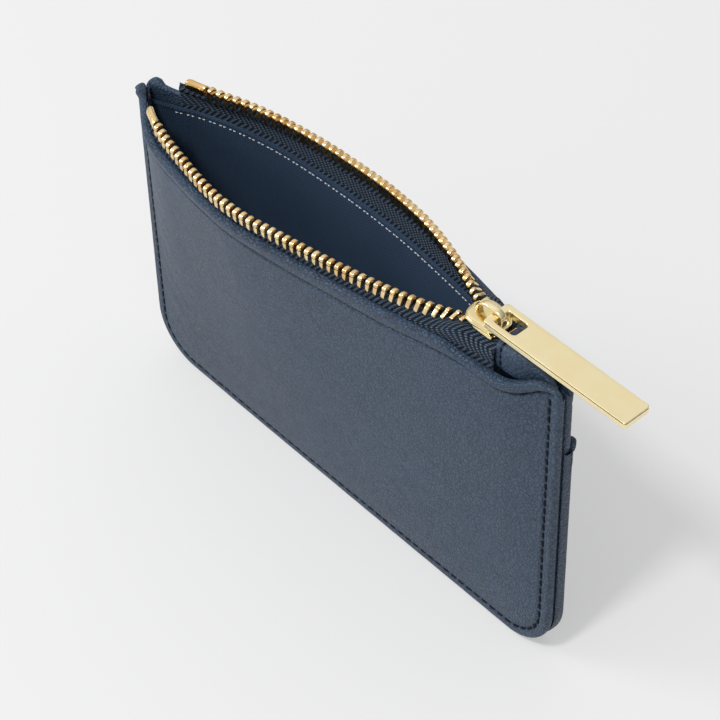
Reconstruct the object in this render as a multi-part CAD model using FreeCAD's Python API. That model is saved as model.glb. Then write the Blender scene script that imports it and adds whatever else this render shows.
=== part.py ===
import FreeCAD, Part
import math
import os

# Zip-top card holder standing on its long bottom edge, mouth open.
# X runs along the length (left to right seen from the front), Y to the rear,
# Z up.  The origin is the middle of the bottom edge.
# All lengths are in millimetres and all angles in degrees.

V = FreeCAD.Vector
os.makedirs("parts", exist_ok=True)

# ---------------------------------------------------------------- dimensions
length = 130.0            # seam to seam, outside
height = 80.0             # leather fold above the resting edge
corner_r = 12.0           # lower corners
top_corner_r = 1.6        # upper corners
mouth_skew = 0.0315       # sideways run of the mouth line, per mm of length, at skew_height
skew_height = 82.0

front_open = 9.5          # largest lean of the front wall
rear_open = 8.8           # largest lean of the rear wall

skin_t = 1.0              # leather skin
half_t = 2.3              # centre plane to the outside of a wall
fold_in = 1.0             # centre plane to the inside of the turned top fold
fold_depth = 9.0          # depth of the turned fold inside the mouth
pad_y = (0.60, 1.26)      # interlining
lining_y = (0.20, 0.55)   # lining cloth
lining_top = 75.5
hem_w = 4.0               # seam allowance of the lining
tape_y = (0.60, 0.95)     # zip tape
tape_low = 68.0
tape_exit = 79.4          # where the tape leaves the fold
pocket_y = (2.34, 3.20)   # outer card pocket at the rear
pocket_top = 63.0
pocket_lip = 0.80         # extra thickness of its turned lip
pocket_lip_h = 7.0

tape_left, tape_right = -57.0, 48.6

tooth_pitch = 1.93
tooth_w = 1.10            # along the chain
tooth_w_locked = 0.90     # along the chain where the two rows are meshed
locked_x = 33.0
tooth_t = 2.20            # across the tape
tooth_h = 3.00            # away from the tape
tooth_slot = 0.90
tooth_slot_h = 1.30
chain_z = 83.0            # middle of the teeth above the resting edge
first_tooth = -48.4
last_tooth = 47.0
stop_l = 4.6              # top stop
stop_gap = 0.55

slider_x0, slider_x1 = 37.2, 47.4
slider_half = 3.9
slider_nose_half = 4.3
plate_t = 1.1
cavity_h = 2.8
flange_w = 0.75
flange_slot = 1.5
diamond_x = (37.6, 39.5)
diamond_half = 0.7

bridge_x = (39.2, 47.3)
bridge_w = 1.7
bridge_leg = 1.0
bridge_top_t = 0.9
bridge_hole = 2.50        # clear height under the bridge

pull_pivot_x = 45.0
pull_end_x = 84.2
pull_w = 7.2
pull_t = 1.8
pull_window = (45.9, 51.8)
pull_window_w = 4.3
pull_corner_r = 1.0

stitch_in = 2.6           # perimeter stitch line, from the outside edge
stitch_w = 0.34
stitch_rise = 0.24
stitch_len = 2.4
stitch_gap = 0.9
mouth_stitch_z = 75.2      # rear wall
lining_stitch_z = 74.0

# ------------------------------------------------------------ opening curves
# share of the largest lean, from the left seam to the right one
front_share = [(-66, 0.0), (-64, 0.0), (-62.5, 0.045), (-58.3, 0.28), (-54.5, 0.48),
               (-51.3, 0.61), (-46.2, 0.74), (-38.5, 0.85), (-32.7, 0.92), (-27, 0.97),
               (-21.3, 1.0), (-16.9, 0.99), (-11.1, 0.955), (0, 0.865), (13.4, 0.73),
               (26.9, 0.58), (36.3, 0.455), (43.6, 0.36), (49.2, 0.28), (53.6, 0.20),
               (58, 0.10), (62, 0.015), (64, 0.0), (66, 0.0)]
rear_share = [(-66, 0.0), (-64, 0.0), (-62.5, 0.03), (-58, 0.20), (-53, 0.42),
              (-45, 0.67), (-39, 0.80), (-34, 0.88), (-28.5, 0.935), (-20, 0.98),
              (-10, 1.0), (0, 0.975), (8, 0.925), (13.4, 0.87), (19, 0.81),
              (25, 0.735), (32, 0.63), (38, 0.53), (44, 0.42), (49, 0.32),
              (54, 0.19), (58, 0.09), (62, 0.012), (64, 0.0), (66, 0.0)]
# distance of the middle of the teeth from the mouth line
front_chain = [(-58, 5.0), (-54, 7.2), (-51, 8.6), (-45.7, 10.4), (-36.5, 12.5),
               (-27.7, 14.1), (-22, 14.6), (-16.4, 14.5), (-9, 13.5), (-0.5, 12.3),
               (9.8, 10.6), (19.9, 8.6), (28.9, 6.1), (33.1, 4.6), (36, 3.55),
               (38.4, 2.75), (40.3, 1.8), (42.2, 1.2), (44, 1.05), (52, 1.05)]
rear_chain = [(-58, 3.4), (-56, 4.0), (-52, 5.2), (-46, 7.2), (-39.3, 9.5),
              (-34.2, 10.7), (-26.9, 11.9), (-16, 12.9), (-4.3, 13.2), (4, 12.7), (10, 12.0),
              (16.8, 10.5), (22, 9.0), (26.6, 7.4), (31, 5.6), (34, 4.3), (36, 3.5),
              (38.4, 2.75), (40.3, 1.8), (42.2, 1.2), (44, 1.05), (52, 1.05)]
# lean of the teeth from upright, towards the mouth line
tooth_lean = [(-60, -5), (-52, -6), (-22, -9), (0, -6), (13, 2), (22, 12), (29, 26),
              (32, 38), (34.5, 55), (36.5, 74), (38.2, 88), (40, 90), (52, 90)]
# the front fold dips over the end tab and rises again into the corner
front_fold_rise = [(-66, 0.0), (36, 0.0), (42, -1.2), (47, -2.1), (52, -2.5), (55, -1.5),
                   (58, 0.0), (60, 0.3), (66, 0.3)]
# height of the stitched crease below the front fold
front_crease = [(-66, 76.3), (-30, 76.2), (-10, 75.8), (20, 75.7), (34, 76.4), (42, 76.4),
                (47, 75.7), (52, 74.6), (56, 75.2), (60, 76.6), (66, 76.6)]


def curve(table, x):
    """Monotone cubic through the table."""
    if x <= table[0][0]:
        return table[0][1]
    if x >= table[-1][0]:
        return table[-1][1]
    n = len(table)
    h = [table[i + 1][0] - table[i][0] for i in range(n - 1)]
    d = [(table[i + 1][1] - table[i][1]) / h[i] for i in range(n - 1)]
    m = [d[0]]
    for i in range(1, n - 1):
        if d[i - 1] * d[i] <= 0:
            m.append(0.0)
        else:
            w1, w2 = 2 * h[i] + h[i - 1], h[i] + 2 * h[i - 1]
            m.append((w1 + w2) / (w1 / d[i - 1] + w2 / d[i]))
    m.append(d[-1])
    for i in range(n - 1):
        if x <= table[i + 1][0]:
            t = (x - table[i][0]) / h[i]
            a, b = table[i][1], table[i + 1][1]
            return ((2 * t**3 - 3 * t**2 + 1) * a + (t**3 - 2 * t**2 + t) * h[i] * m[i]
                    + (-2 * t**3 + 3 * t**2) * b + (t**3 - t**2) * h[i] * m[i + 1])
    return table[-1][1]


def centre_y(x, z):
    return mouth_skew * x * z / skew_height


def lean(side, x):
    """Turn of the wall section at x about the bottom axis, in radians."""
    skew = math.atan(mouth_skew * x / skew_height)
    if side < 0:
        return math.radians(front_open) * curve(front_share, x) - skew
    return -math.radians(rear_open) * curve(rear_share, x) - skew


def at(side, x, y, z):
    """A point of the closed, flat wall, moved to where the open wall has it.
    y is counted from the centre plane outwards."""
    b = lean(side, x)
    y = side * y
    return V(x, y * math.cos(b) - z * math.sin(b), y * math.sin(b) + z * math.cos(b))


stations = [-65.6, -64.2, -63.0, -61.0, -58.5, -56.0, -53.5, -50.5, -47.0, -42.5,
            -37.0, -31.0, -25.0, -19.0, -12.0, -4.0, 5.0, 14.0, 23.0, 31.0, 37.5,
            43.0, 48.0, 52.0, 55.5, 58.5, 61.0, 63.0, 64.2, 65.6]


def wire(points):
    return Part.Wire([Part.LineSegment(points[i], points[(i + 1) % len(points)]).toShape()
                      for i in range(len(points))])


def sheet(side, profile, xs=None):
    """Layer of a wall: the closed profile [(y, z), ...] carried along the length.
    profile is a list, or a function of x where the height changes along the wall."""
    xs = xs or stations
    at_x = profile if callable(profile) else (lambda x: profile)
    return Part.makeLoft([wire([at(side, x, y, z) for y, z in at_x(x)]) for x in xs],
                         True, False)


def slab(side, y0, y1, z0, z1, xs=None):
    return sheet(side, [(y0, z0), (y1, z0), (y1, z1), (y0, z1)], xs)


def outline(inset, top, y0=-40.0, y1=40.0, top_r=None, low=None):
    """Prism with the outline of the card holder, moved in by inset."""
    a, z0, r = length / 2 - inset, (inset if low is None else low), max(corner_r - inset, 0.5)
    q = top_corner_r if top_r is None else top_r
    c = math.sqrt(0.5)
    pts = [V(-a, y0, top - q), V(-a, y0, z0 + r), V(-a + r, y0, z0), V(a - r, y0, z0),
           V(a, y0, z0 + r), V(a, y0, top - q)]
    edges = [Part.LineSegment(pts[0], pts[1]).toShape(),
             Part.Arc(pts[1], V(-a + r - r * c, y0, z0 + r - r * c), pts[2]).toShape(),
             Part.LineSegment(pts[2], pts[3]).toShape(),
             Part.Arc(pts[3], V(a - r + r * c, y0, z0 + r - r * c), pts[4]).toShape(),
             Part.LineSegment(pts[4], pts[5]).toShape()]
    if q > 0:
        tl, tr = V(-a + q, y0, top), V(a - q, y0, top)
        edges += [Part.Arc(pts[5], V(a - q + q * c, y0, top - q + q * c), tr).toShape(),
                  Part.LineSegment(tr, tl).toShape(),
                  Part.Arc(tl, V(-a + q - q * c, y0, top - q + q * c), pts[0]).toShape()]
    else:
        edges += [Part.LineSegment(pts[5], pts[0]).toShape()]
    face = Part.Face(Part.Wire(edges))
    return face.extrude(V(0, y1 - y0, 0))


def box(x0, x1, y0, y1, z0, z1):
    return Part.makeBox(x1 - x0, y1 - y0, z1 - z0, V(x0, y0, z0))


def solids(shape):
    found = shape.Solids
    return found[0] if len(found) == 1 else Part.makeCompound(found)


made = {}


def save(name, shape):
    shape = solids(shape)
    made[name] = shape
    shape.exportStep("parts/" + name + ".step")


# ----------------------------------------------------------------- the walls
FRONT, REAR = -1, 1
r = (half_t - fold_in) / 2


def skin_profile(rise=0.0):
    """Leather skin with its top edge turned over and down inside the mouth."""
    top = height + rise
    pts = [(half_t, -1.0), (half_t, top - r)]
    for k in range(1, 6):
        a = math.pi * k / 6
        pts.append((half_t - r + r * math.cos(a), top - r + r * math.sin(a)))
    pts += [(fold_in, top - r), (fold_in, height - fold_depth),
            (half_t - skin_t, height - fold_depth), (half_t - skin_t, -1.0)]
    return pts


whole = outline(0.0, height + 0.4)
save("front_panel", sheet(FRONT, lambda x: skin_profile(curve(front_fold_rise, x))).common(whole))
save("rear_panel", sheet(REAR, skin_profile()).common(whole))

pad_cut = outline(0.7, 66.0, top_r=0)
save("front_interlining", slab(FRONT, pad_y[0], pad_y[1], 1.0, 64.0).common(pad_cut))
save("rear_interlining", slab(REAR, pad_y[0], pad_y[1], 1.0, 64.0).common(pad_cut))

# lining cloth; the seam allowance along sides and bottom closes the bag
lining_cut = outline(0.5, lining_top + 1.0, top_r=0, low=0.0)
inside_hem = outline(hem_w, lining_top + 8.0, top_r=0)
hem_ring = lining_cut.cut(inside_hem)
front_lining = slab(FRONT, lining_y[0], lining_y[1], -1.0, lining_top).common(lining_cut)
front_hem = slab(FRONT, -0.18, lining_y[0] + 0.02, -1.0, lining_top - 4.0).common(hem_ring)
side_ring = hem_ring.cut(box(-length, length, -40, 40, -5, hem_w + 1.0))
front_hem = front_hem.cut(side_ring.common(slab(FRONT, -0.6, 0.01, -1.0, lining_top)))
save("front_lining", front_lining.fuse(front_hem).removeSplitter())
rear_lining = slab(REAR, lining_y[0], lining_y[1], -1.0, lining_top).common(lining_cut)
rear_hem = slab(REAR, 0.01, lining_y[0] + 0.02, -1.0, lining_top - 4.0).common(side_ring)
save("rear_lining", rear_lining.fuse(rear_hem).removeSplitter())

# outer card pocket behind the rear panel, open along its turned lip
lip_r = 0.45
lip = [(pocket_y[0], -1.0), (pocket_y[1], -1.0), (pocket_y[1], pocket_top - pocket_lip_h),
       (pocket_y[1] + pocket_lip, pocket_top - pocket_lip_h + 1.2),
       (pocket_y[1] + pocket_lip, pocket_top - lip_r),
       (pocket_y[1] + pocket_lip - lip_r, pocket_top),
       (pocket_y[0] + lip_r, pocket_top), (pocket_y[0], pocket_top - lip_r)]
save("rear_pocket_panel", sheet(REAR, lip).common(outline(0.0, height, top_r=0)))


# ------------------------------------------------------------------- zip
def chain_frame(side, x):
    """Middle of the tooth, its direction away from the tape, and the direction across."""
    off = curve(front_chain if side < 0 else rear_chain, x)
    g = math.radians(curve(tooth_lean, x))
    b = lean(side, x) + math.atan(mouth_skew * x / skew_height)
    z = chain_z * math.cos(b) + 0.35 * math.sin(math.pi * min(1, max(0, (x - 34) / 8)))
    y = centre_y(x, z) + side * off
    up = V(0, -side * math.sin(g), math.cos(g))
    across = V(0, math.cos(g), side * math.sin(g))
    return V(x, y, z), up, across


def tape_section(side, x):
    """Tape cross-section: flat inside the wall, then curving to the teeth."""
    mid = (tape_y[0] + tape_y[1]) / 2
    low, out = at(side, x, mid, tape_low), at(side, x, mid, tape_exit)
    c, up, across = chain_frame(side, x)
    base = c - up * (tooth_h / 2)
    d0 = (out - low).normalize()
    k = 0.38 * (base - out).Length
    # close to the slider the tape runs out flat between the flanges before it turns down
    k2 = k * (1 + 0.75 * min(1, max(0, (x - 30) / 6)))
    p = [out, out + d0 * k, base - up * k2, base]
    path = [low]
    for t in (0.0, 0.28, 0.52, 0.72, 0.88, 1.0):
        u = 1 - t
        path.append(p[0] * u**3 + p[1] * (3 * u * u * t) + p[2] * (3 * u * t * t) + p[3] * t**3)
    path.append(base + up * (tooth_slot_h - 0.25))
    half = (tape_y[1] - tape_y[0]) / 2
    one, two = [], []
    for i, q in enumerate(path):
        a, b = path[max(i - 1, 0)], path[min(i + 1, len(path) - 1)]
        d = (b - a).normalize()
        n = V(0, -d.z, d.y)
        one.append(q + n * half)
        two.append(q - n * half)
    return one + two[::-1]


tape_x = [tape_left + i * (tape_right - tape_left) / 34 for i in range(35)]
for name, side in (("front_zip_tape", FRONT), ("rear_zip_tape", REAR)):
    save(name, Part.makeLoft([wire(tape_section(side, x)) for x in tape_x], True, False))


def tooth_profile():
    """Outline of one tooth: two legs on the tape, round head.  (across, up)"""
    a, s, h = tooth_t / 2, tooth_slot / 2, tooth_h / 2
    pts = [(-s, -h), (-a, -h), (-a, h - 0.75)]
    for k in range(1, 6):
        t = math.pi * (1 - k / 6)
        pts.append((a * math.cos(t), h - 0.75 + 0.75 * math.sin(t)))
    pts += [(a, h - 0.75), (a, -h), (s, -h), (s, -h + tooth_slot_h), (-s, -h + tooth_slot_h)]
    return pts


def bar(side, x, profile, width):
    """profile = [(across, up), ...] extruded by width along the chain, centred on x."""
    c, up, across = chain_frame(side, x)
    c = V(x, c.y, c.z)
    pts = [c + across * p + up * q - V(width / 2, 0, 0) for p, q in profile]
    return Part.Face(wire(pts)).extrude(V(width, 0, 0))


def teeth(side, shift):
    out, x = [], first_tooth + shift
    while x < last_tooth:
        out.append(bar(side, x, tooth_profile(), tooth_w if x < locked_x else tooth_w_locked))
        x += tooth_pitch
    return Part.makeCompound(out)


save("front_teeth", teeth(FRONT, 0.0))
save("rear_teeth", teeth(REAR, -tooth_pitch / 2))


def top_stop(side, x_first):
    """Tube clamped over the tape at the left end of the teeth, following the chain."""
    x1 = x_first - tooth_w / 2 - stop_gap
    x0 = x1 - stop_l
    a, s, h = tooth_t / 2, tooth_slot / 2, tooth_h / 2
    prof = [(-s, -h + 0.2), (-a, -h + 0.35), (-a, h - 0.8), (-a * 0.7, h - 0.25), (0, h - 0.05),
            (a * 0.7, h - 0.25), (a, h - 0.8), (a, -h + 0.35), (s, -h + 0.2),
            (s, -h + tooth_slot_h + 0.2), (-s, -h + tooth_slot_h + 0.2)]
    rows = []
    for i in range(4):
        x = x0 + (x1 - x0) * i / 3
        c, up, across = chain_frame(side, x)
        rows.append(wire([c + across * p + up * q for p, q in prof]))
    return Part.makeLoft(rows, True, True)


save("front_top_stop", top_stop(FRONT, first_tooth))
save("rear_top_stop", top_stop(REAR, first_tooth - tooth_pitch / 2))

# ------------------------------------------------- slider, in its own frame
# built along X with its middle plane at z = 0 and the mouth line at y = 0,
# then turned to the direction of the mouth line
skew_deg = math.degrees(math.atan(mouth_skew * chain_z / skew_height))


def to_chain(shape):
    shape = shape.copy()
    shape.rotate(V(0, 0, 0), V(0, 0, 1), skew_deg)
    shape.translate(V(0, 0, chain_z))
    return shape


def slider_plate(z0, z1):
    """Plate seen from above: round nose, slightly narrower tail."""
    n, t = slider_nose_half, slider_half
    x0, x1 = slider_x0, slider_x1
    pts = [V(x0, -1.6, z0), V(x0 + 0.7, -n + 0.9, z0), V(x0 + 2.6, -n, z0), V(x0 + 5.2, -t, z0),
           V(x1 - 0.8, -t + 0.15, z0), V(x1, -t + 1.0, z0)]
    pts += [V(p.x, -p.y, p.z) for p in pts[::-1]]
    return Part.Face(wire(pts)).extrude(V(0, 0, z1 - z0))


half_cav = cavity_h / 2
top_plate = slider_plate(half_cav, half_cav + plate_t)
low_plate = slider_plate(-half_cav - plate_t, -half_cav)
flanges = []
for s in (-1, 1):
    y0, y1 = sorted((s * (slider_half - flange_w), s * (slider_half - 0.05)))
    for z0, z1 in ((flange_slot / 2, half_cav + 0.2), (-half_cav - 0.2, -flange_slot / 2)):
        flanges.append(box(41.2, slider_x1 - 0.9, y0, y1, z0, z1))
diamond = Part.Face(wire([V(diamond_x[0], -diamond_half, -half_cav - 0.2),
                          V(diamond_x[1], 0, -half_cav - 0.2),
                          V(diamond_x[0], diamond_half, -half_cav - 0.2)])
                    ).extrude(V(0, 0, cavity_h + 0.4))
body = top_plate.fuse([low_plate, diamond] + flanges).removeSplitter()
save("slider_body", to_chain(body))

top_z = half_cav + plate_t
b0, b1 = bridge_x
crown = [V(b0, 0, top_z), V(b0 + 0.15, 0, top_z + bridge_hole * 0.55),
         V(b0 + 1.2, 0, top_z + bridge_hole + bridge_top_t * 0.75),
         V(b0 + 2.4, 0, top_z + bridge_hole + bridge_top_t),
         V(b1 - 1.4, 0, top_z + bridge_hole + bridge_top_t),
         V(b1 - 0.4, 0, top_z + bridge_hole + 0.2), V(b1, 0, top_z + 1.4), V(b1, 0, top_z),
         V(b1 - bridge_leg, 0, top_z), V(b1 - bridge_leg, 0, top_z + 1.5),
         V(b1 - bridge_leg - 0.5, 0, top_z + bridge_hole),
         V(b0 + 2.6, 0, top_z + bridge_hole), V(b0 + 1.5, 0, top_z + bridge_hole * 0.6),
         V(b0 + 1.2, 0, top_z)]
bridge = Part.Face(wire([p - V(0, bridge_w / 2, 0) for p in crown])).extrude(V(0, bridge_w, 0))
save("slider_bridge", to_chain(bridge))

# ----------------------------------------------------------------- pull bar
pivot_z = top_z + 0.35 + pull_t / 2
pull = box(pull_pivot_x, pull_end_x, -pull_w / 2, pull_w / 2, pivot_z - pull_t / 2, pivot_z + pull_t / 2)
ends = [e for e in pull.Edges if abs(e.Vertexes[0].X - pull_end_x) < 1e-6
        and abs(e.Vertexes[1].X - pull_end_x) < 1e-6
        and abs(e.Vertexes[0].Y - e.Vertexes[1].Y) < 1e-6]
pull = pull.makeFillet(pull_corner_r, ends)
round_end = Part.makeCylinder(pull_t / 2, pull_w, V(pull_pivot_x, -pull_w / 2, pivot_z), V(0, 1, 0))
window = box(pull_window[0], pull_window[1], -pull_window_w / 2, pull_window_w / 2,
             pivot_z - pull_t, pivot_z + pull_t)
corners = [e for e in window.Edges if abs(e.Vertexes[0].X - e.Vertexes[1].X) < 1e-6
           and abs(e.Vertexes[0].Y - e.Vertexes[1].Y) < 1e-6
           and e.Vertexes[0].X > pull_window[0] + 1]
window = window.makeFillet(0.8, corners)
pull = pull.fuse(round_end).cut(window)
# the bar is thinned to a round pin between the two arms
pin_gap = box(pull_pivot_x - 2, pull_window[0] + 0.01, -pull_window_w / 2, pull_window_w / 2,
              pivot_z - pull_t, pivot_z + pull_t)
pin = Part.makeCylinder(pull_t / 2, pull_window_w + 0.4,
                        V(pull_pivot_x, -pull_window_w / 2 - 0.2, pivot_z), V(0, 1, 0))
pull = pull.cut(pin_gap).fuse(pin).removeSplitter()
save("pull_bar", to_chain(pull))

# ------------------------------------------- bottom stop and the end tab
stop = box(47.9, 49.2, -2.3, 2.3, -1.15, 1.15)
stop = stop.cut(box(47.0, 50.0, -3.0, -1.6, -0.45, 0.45)).cut(box(47.0, 50.0, 1.6, 3.0, -0.45, 0.45))
save("bottom_stop", to_chain(stop))

tab_rows = []
for x, zt, zb, hw in ((49.4, 84.35, 77.0, 3.6), (51.5, 84.3, 77.0, 3.4), (54.0, 83.7, 77.0, 2.9),
                      (56.5, 82.6, 76.8, 2.2), (58.8, 81.2, 76.6, 1.15), (61.0, 79.4, 76.4, 0.75),
                      (62.6, 78.2, 76.0, 0.5)):
    c = centre_y(x, zt)
    b = 0.45 if hw > 1.2 else 0.2
    tab_rows.append(wire([V(x, c - hw, zb), V(x, c + hw, zb), V(x, c + hw, zt - b), V(x, c + hw - b, zt),
                          V(x, c - hw + b, zt), V(x, c - hw, zt - b)]))
save("right_zip_end_tab", Part.makeLoft(tab_rows, True, True))


# ----------------------------------------------------------------- stitching
def rim_point(s, inset, low_z):
    """Point (x, z) and direction at length s along the line inset from the outline,
    from the left side at height low_z, round the bottom, to the right side."""
    a, r = length / 2 - inset, corner_r - inset
    side_l = low_z - corner_r
    arc_l, flat_l = math.pi * r / 2, 2 * (a - r)
    total = 2 * side_l + 2 * arc_l + flat_l
    flip = s > total / 2
    if flip:
        s = total - s
    if s < side_l:
        x, z, dx, dz = -a, low_z - s, 0.0, -1.0
    elif s < side_l + arc_l:
        t = (s - side_l) / r
        x, z = -a + r - r * math.cos(t), corner_r - r * math.sin(t)
        dx, dz = math.sin(t), -math.cos(t)
    else:
        x, z, dx, dz = -a + r + (s - side_l - arc_l), inset, 1.0, 0.0
    return (-x, z, dx, -dz) if flip else (x, z, dx, dz)


def rim_length(inset, low_z):
    a, r = length / 2 - inset, corner_r - inset
    return 2 * (low_z - corner_r) + math.pi * r + 2 * (a - r)


step = stitch_len + stitch_gap


def dash(side, y_out, x, z, dx, dz):
    """One straight stitch lying on the wall at (x, z), along (dx, dz)."""
    y = y_out + 0.07
    c = at(side, x, y, z)
    e = 0.4
    tx = at(side, x + e, y, z) - at(side, x - e, y, z)
    tz = at(side, x, y, z + e) - at(side, x, y, z - e)
    out = at(side, x, y + 1, z) - c
    n = tx.cross(tz).normalize()
    if n.dot(out) < 0:
        n = n * -1
    t = (tx * dx + tz * dz).normalize()
    w = n.cross(t).normalize()
    shape = Part.makeBox(stitch_len, stitch_w, stitch_rise, V(-stitch_len / 2, -stitch_w / 2, 0))
    m = FreeCAD.Matrix(t.x, w.x, n.x, c.x, t.y, w.y, n.y, c.y, t.z, w.z, n.z, c.z, 0, 0, 0, 1)
    shape.Placement = FreeCAD.Placement(m)
    return shape


def rim_stitches(side, y_out, low_z):
    total = rim_length(stitch_in, low_z)
    count = int(total / step)
    pitch = total / count
    return [dash(side, y_out, *rim_point((k + 0.5) * pitch, stitch_in, low_z)) for k in range(count)]


save("perimeter_stitching", Part.makeCompound(
    rim_stitches(FRONT, half_t, mouth_stitch_z - 0.4)
    + rim_stitches(REAR, pocket_y[1], pocket_top - pocket_lip_h - 0.6)))


def row(side, y_in, y_out, z_mid, x_end=60.0):
    """Line of stitches along the length."""
    out, x = [], -x_end
    height_at = z_mid if callable(z_mid) else (lambda q: z_mid)
    while x + stitch_len <= x_end:
        xs = [x, x + stitch_len / 2, x + stitch_len]
        out.append(Part.makeLoft(
            [wire([at(side, q, y_in, height_at(q) - stitch_w / 2), at(side, q, y_out, height_at(q) - stitch_w / 2),
                   at(side, q, y_out, height_at(q) + stitch_w / 2), at(side, q, y_in, height_at(q) + stitch_w / 2)])
             for q in xs], True, False))
        x += step
    return out


save("front_mouth_stitching", Part.makeCompound(
    row(FRONT, half_t + 0.07, half_t + 0.07 + stitch_rise, lambda x: curve(front_crease, x))))
save("rear_mouth_stitching", Part.makeCompound(
    row(REAR, half_t + 0.07, half_t + 0.07 + stitch_rise, mouth_stitch_z)))
save("pocket_lip_stitching", Part.makeCompound(
    row(REAR, pocket_y[1] + pocket_lip + 0.07, pocket_y[1] + pocket_lip + 0.07 + stitch_rise,
        pocket_top - 2.6)))
save("lining_stitching", Part.makeCompound(
    row(FRONT, lining_y[0] - 0.05, lining_y[0] - 0.25, lining_stitch_z, 56.0)
    + row(REAR, lining_y[0] - 0.05, lining_y[0] - 0.25, lining_stitch_z, 56.0)))

tab_stitches = []
for k in range(3):
    y = -2.2 + 2.2 * k
    tab_stitches.append(box(51.0, 51.35, y - 0.75 + centre_y(51, 84), y + 0.75 + centre_y(51, 84),
                            84.39, 84.62))
save("end_tab_stitching", Part.makeCompound(tab_stitches))

for name, shape in made.items():
    b = shape.BoundBox
    print("%-24s solids %3d vol %9.2f  x %.2f..%.2f y %.2f..%.2f z %.2f..%.2f valid %s" % (
        name, len(shape.Solids), shape.Volume, b.XMin, b.XMax, b.YMin, b.YMax, b.ZMin, b.ZMax,
        shape.isValid()))
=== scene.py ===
import bpy, bmesh, math, random
import numpy as np
from mathutils import Matrix, Vector, noise


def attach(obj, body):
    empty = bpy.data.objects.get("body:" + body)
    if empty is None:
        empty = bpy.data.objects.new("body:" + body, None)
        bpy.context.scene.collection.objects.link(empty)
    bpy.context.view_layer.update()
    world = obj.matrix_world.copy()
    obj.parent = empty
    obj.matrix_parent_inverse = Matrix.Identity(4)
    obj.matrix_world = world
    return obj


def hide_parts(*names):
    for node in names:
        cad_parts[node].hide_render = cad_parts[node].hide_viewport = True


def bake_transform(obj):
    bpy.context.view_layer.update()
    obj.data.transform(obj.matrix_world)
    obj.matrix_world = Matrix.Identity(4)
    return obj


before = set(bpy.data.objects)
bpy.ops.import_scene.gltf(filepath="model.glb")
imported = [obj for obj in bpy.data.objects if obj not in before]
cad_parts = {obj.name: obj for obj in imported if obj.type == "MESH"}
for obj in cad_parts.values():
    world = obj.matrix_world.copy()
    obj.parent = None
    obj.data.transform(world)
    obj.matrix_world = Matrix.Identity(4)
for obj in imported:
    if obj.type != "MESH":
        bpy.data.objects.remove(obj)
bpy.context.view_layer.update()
random.seed(7)
MM = 0.001

# ------------------------------------------------------------------ dimensions
# the same model as the CAD: a closed flat wall, turned about the resting edge
LENGTH, HEIGHT, CORNER_R, TOP_R = 130.0, 80.0, 12.0, 1.6
SKEW, SKEW_H = 0.0315, 82.0
FRONT_OPEN, REAR_OPEN = 9.5, 8.8
SKIN, HALF, FOLD_IN, FOLD_DEPTH = 1.0, 2.3, 1.0, 9.0
LINING_TOP = 75.5
POCKET_TOP = 63.0
CHAIN_Z, PITCH, FIRST, LAST = 83.0, 1.93, -48.4, 47.0
TOOTH_W, TOOTH_WL, LOCKED_X, TOOTH_T, TOOTH_H = 1.10, 0.90, 33.0, 2.20, 3.00
STITCH_IN, MOUTH_Z, LINING_Z = 2.6, 75.2, 74.0
FRONT, REAR = -1, 1

front_share = [(-66, 0.0), (-64, 0.0), (-62.5, 0.045), (-58.3, 0.28), (-54.5, 0.48),
               (-51.3, 0.61), (-46.2, 0.74), (-38.5, 0.85), (-32.7, 0.92), (-27, 0.97),
               (-21.3, 1.0), (-16.9, 0.99), (-11.1, 0.955), (0, 0.865), (13.4, 0.73),
               (26.9, 0.58), (36.3, 0.455), (43.6, 0.36), (49.2, 0.28), (53.6, 0.20),
               (58, 0.10), (62, 0.015), (64, 0.0), (66, 0.0)]
rear_share = [(-66, 0.0), (-64, 0.0), (-62.5, 0.03), (-58, 0.20), (-53, 0.42),
              (-45, 0.67), (-39, 0.80), (-34, 0.88), (-28.5, 0.935), (-20, 0.98),
              (-10, 1.0), (0, 0.975), (8, 0.925), (13.4, 0.87), (19, 0.81),
              (25, 0.735), (32, 0.63), (38, 0.53), (44, 0.42), (49, 0.32),
              (54, 0.19), (58, 0.09), (62, 0.012), (64, 0.0), (66, 0.0)]
front_chain = [(-58, 5.0), (-54, 7.2), (-51, 8.6), (-45.7, 10.4), (-36.5, 12.5),
               (-27.7, 14.1), (-22, 14.6), (-16.4, 14.5), (-9, 13.5), (-0.5, 12.3),
               (9.8, 10.6), (19.9, 8.6), (28.9, 6.1), (33.1, 4.6), (36, 3.55),
               (38.4, 2.75), (40.3, 1.8), (42.2, 1.2), (44, 1.05), (52, 1.05)]
rear_chain = [(-58, 3.4), (-56, 4.0), (-52, 5.2), (-46, 7.2), (-39.3, 9.5),
              (-34.2, 10.7), (-26.9, 11.9), (-16, 12.9), (-4.3, 13.2), (4, 12.7), (10, 12.0),
              (16.8, 10.5), (22, 9.0), (26.6, 7.4), (31, 5.6), (34, 4.3), (36, 3.5),
              (38.4, 2.75), (40.3, 1.8), (42.2, 1.2), (44, 1.05), (52, 1.05)]
front_fold_rise = [(-66, 0.0), (36, 0.0), (42, -1.2), (47, -2.1), (52, -2.5), (55, -1.5),
                   (58, 0.2), (60, 0.8), (62.5, 0.6), (66, 0.0)]
front_crease = [(-66, 76.3), (-30, 76.2), (-10, 75.8), (20, 75.7), (34, 76.4), (42, 76.4),
                (47, 75.7), (52, 74.6), (56, 75.4), (59, 77.4), (62, 79.0), (66, 79.2)]
tooth_lean = [(-60, -5), (-52, -6), (-22, -9), (0, -6), (13, 2), (22, 12), (29, 26),
              (32, 38), (34.5, 55), (36.5, 74), (38.2, 88), (40, 90), (52, 90)]


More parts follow.
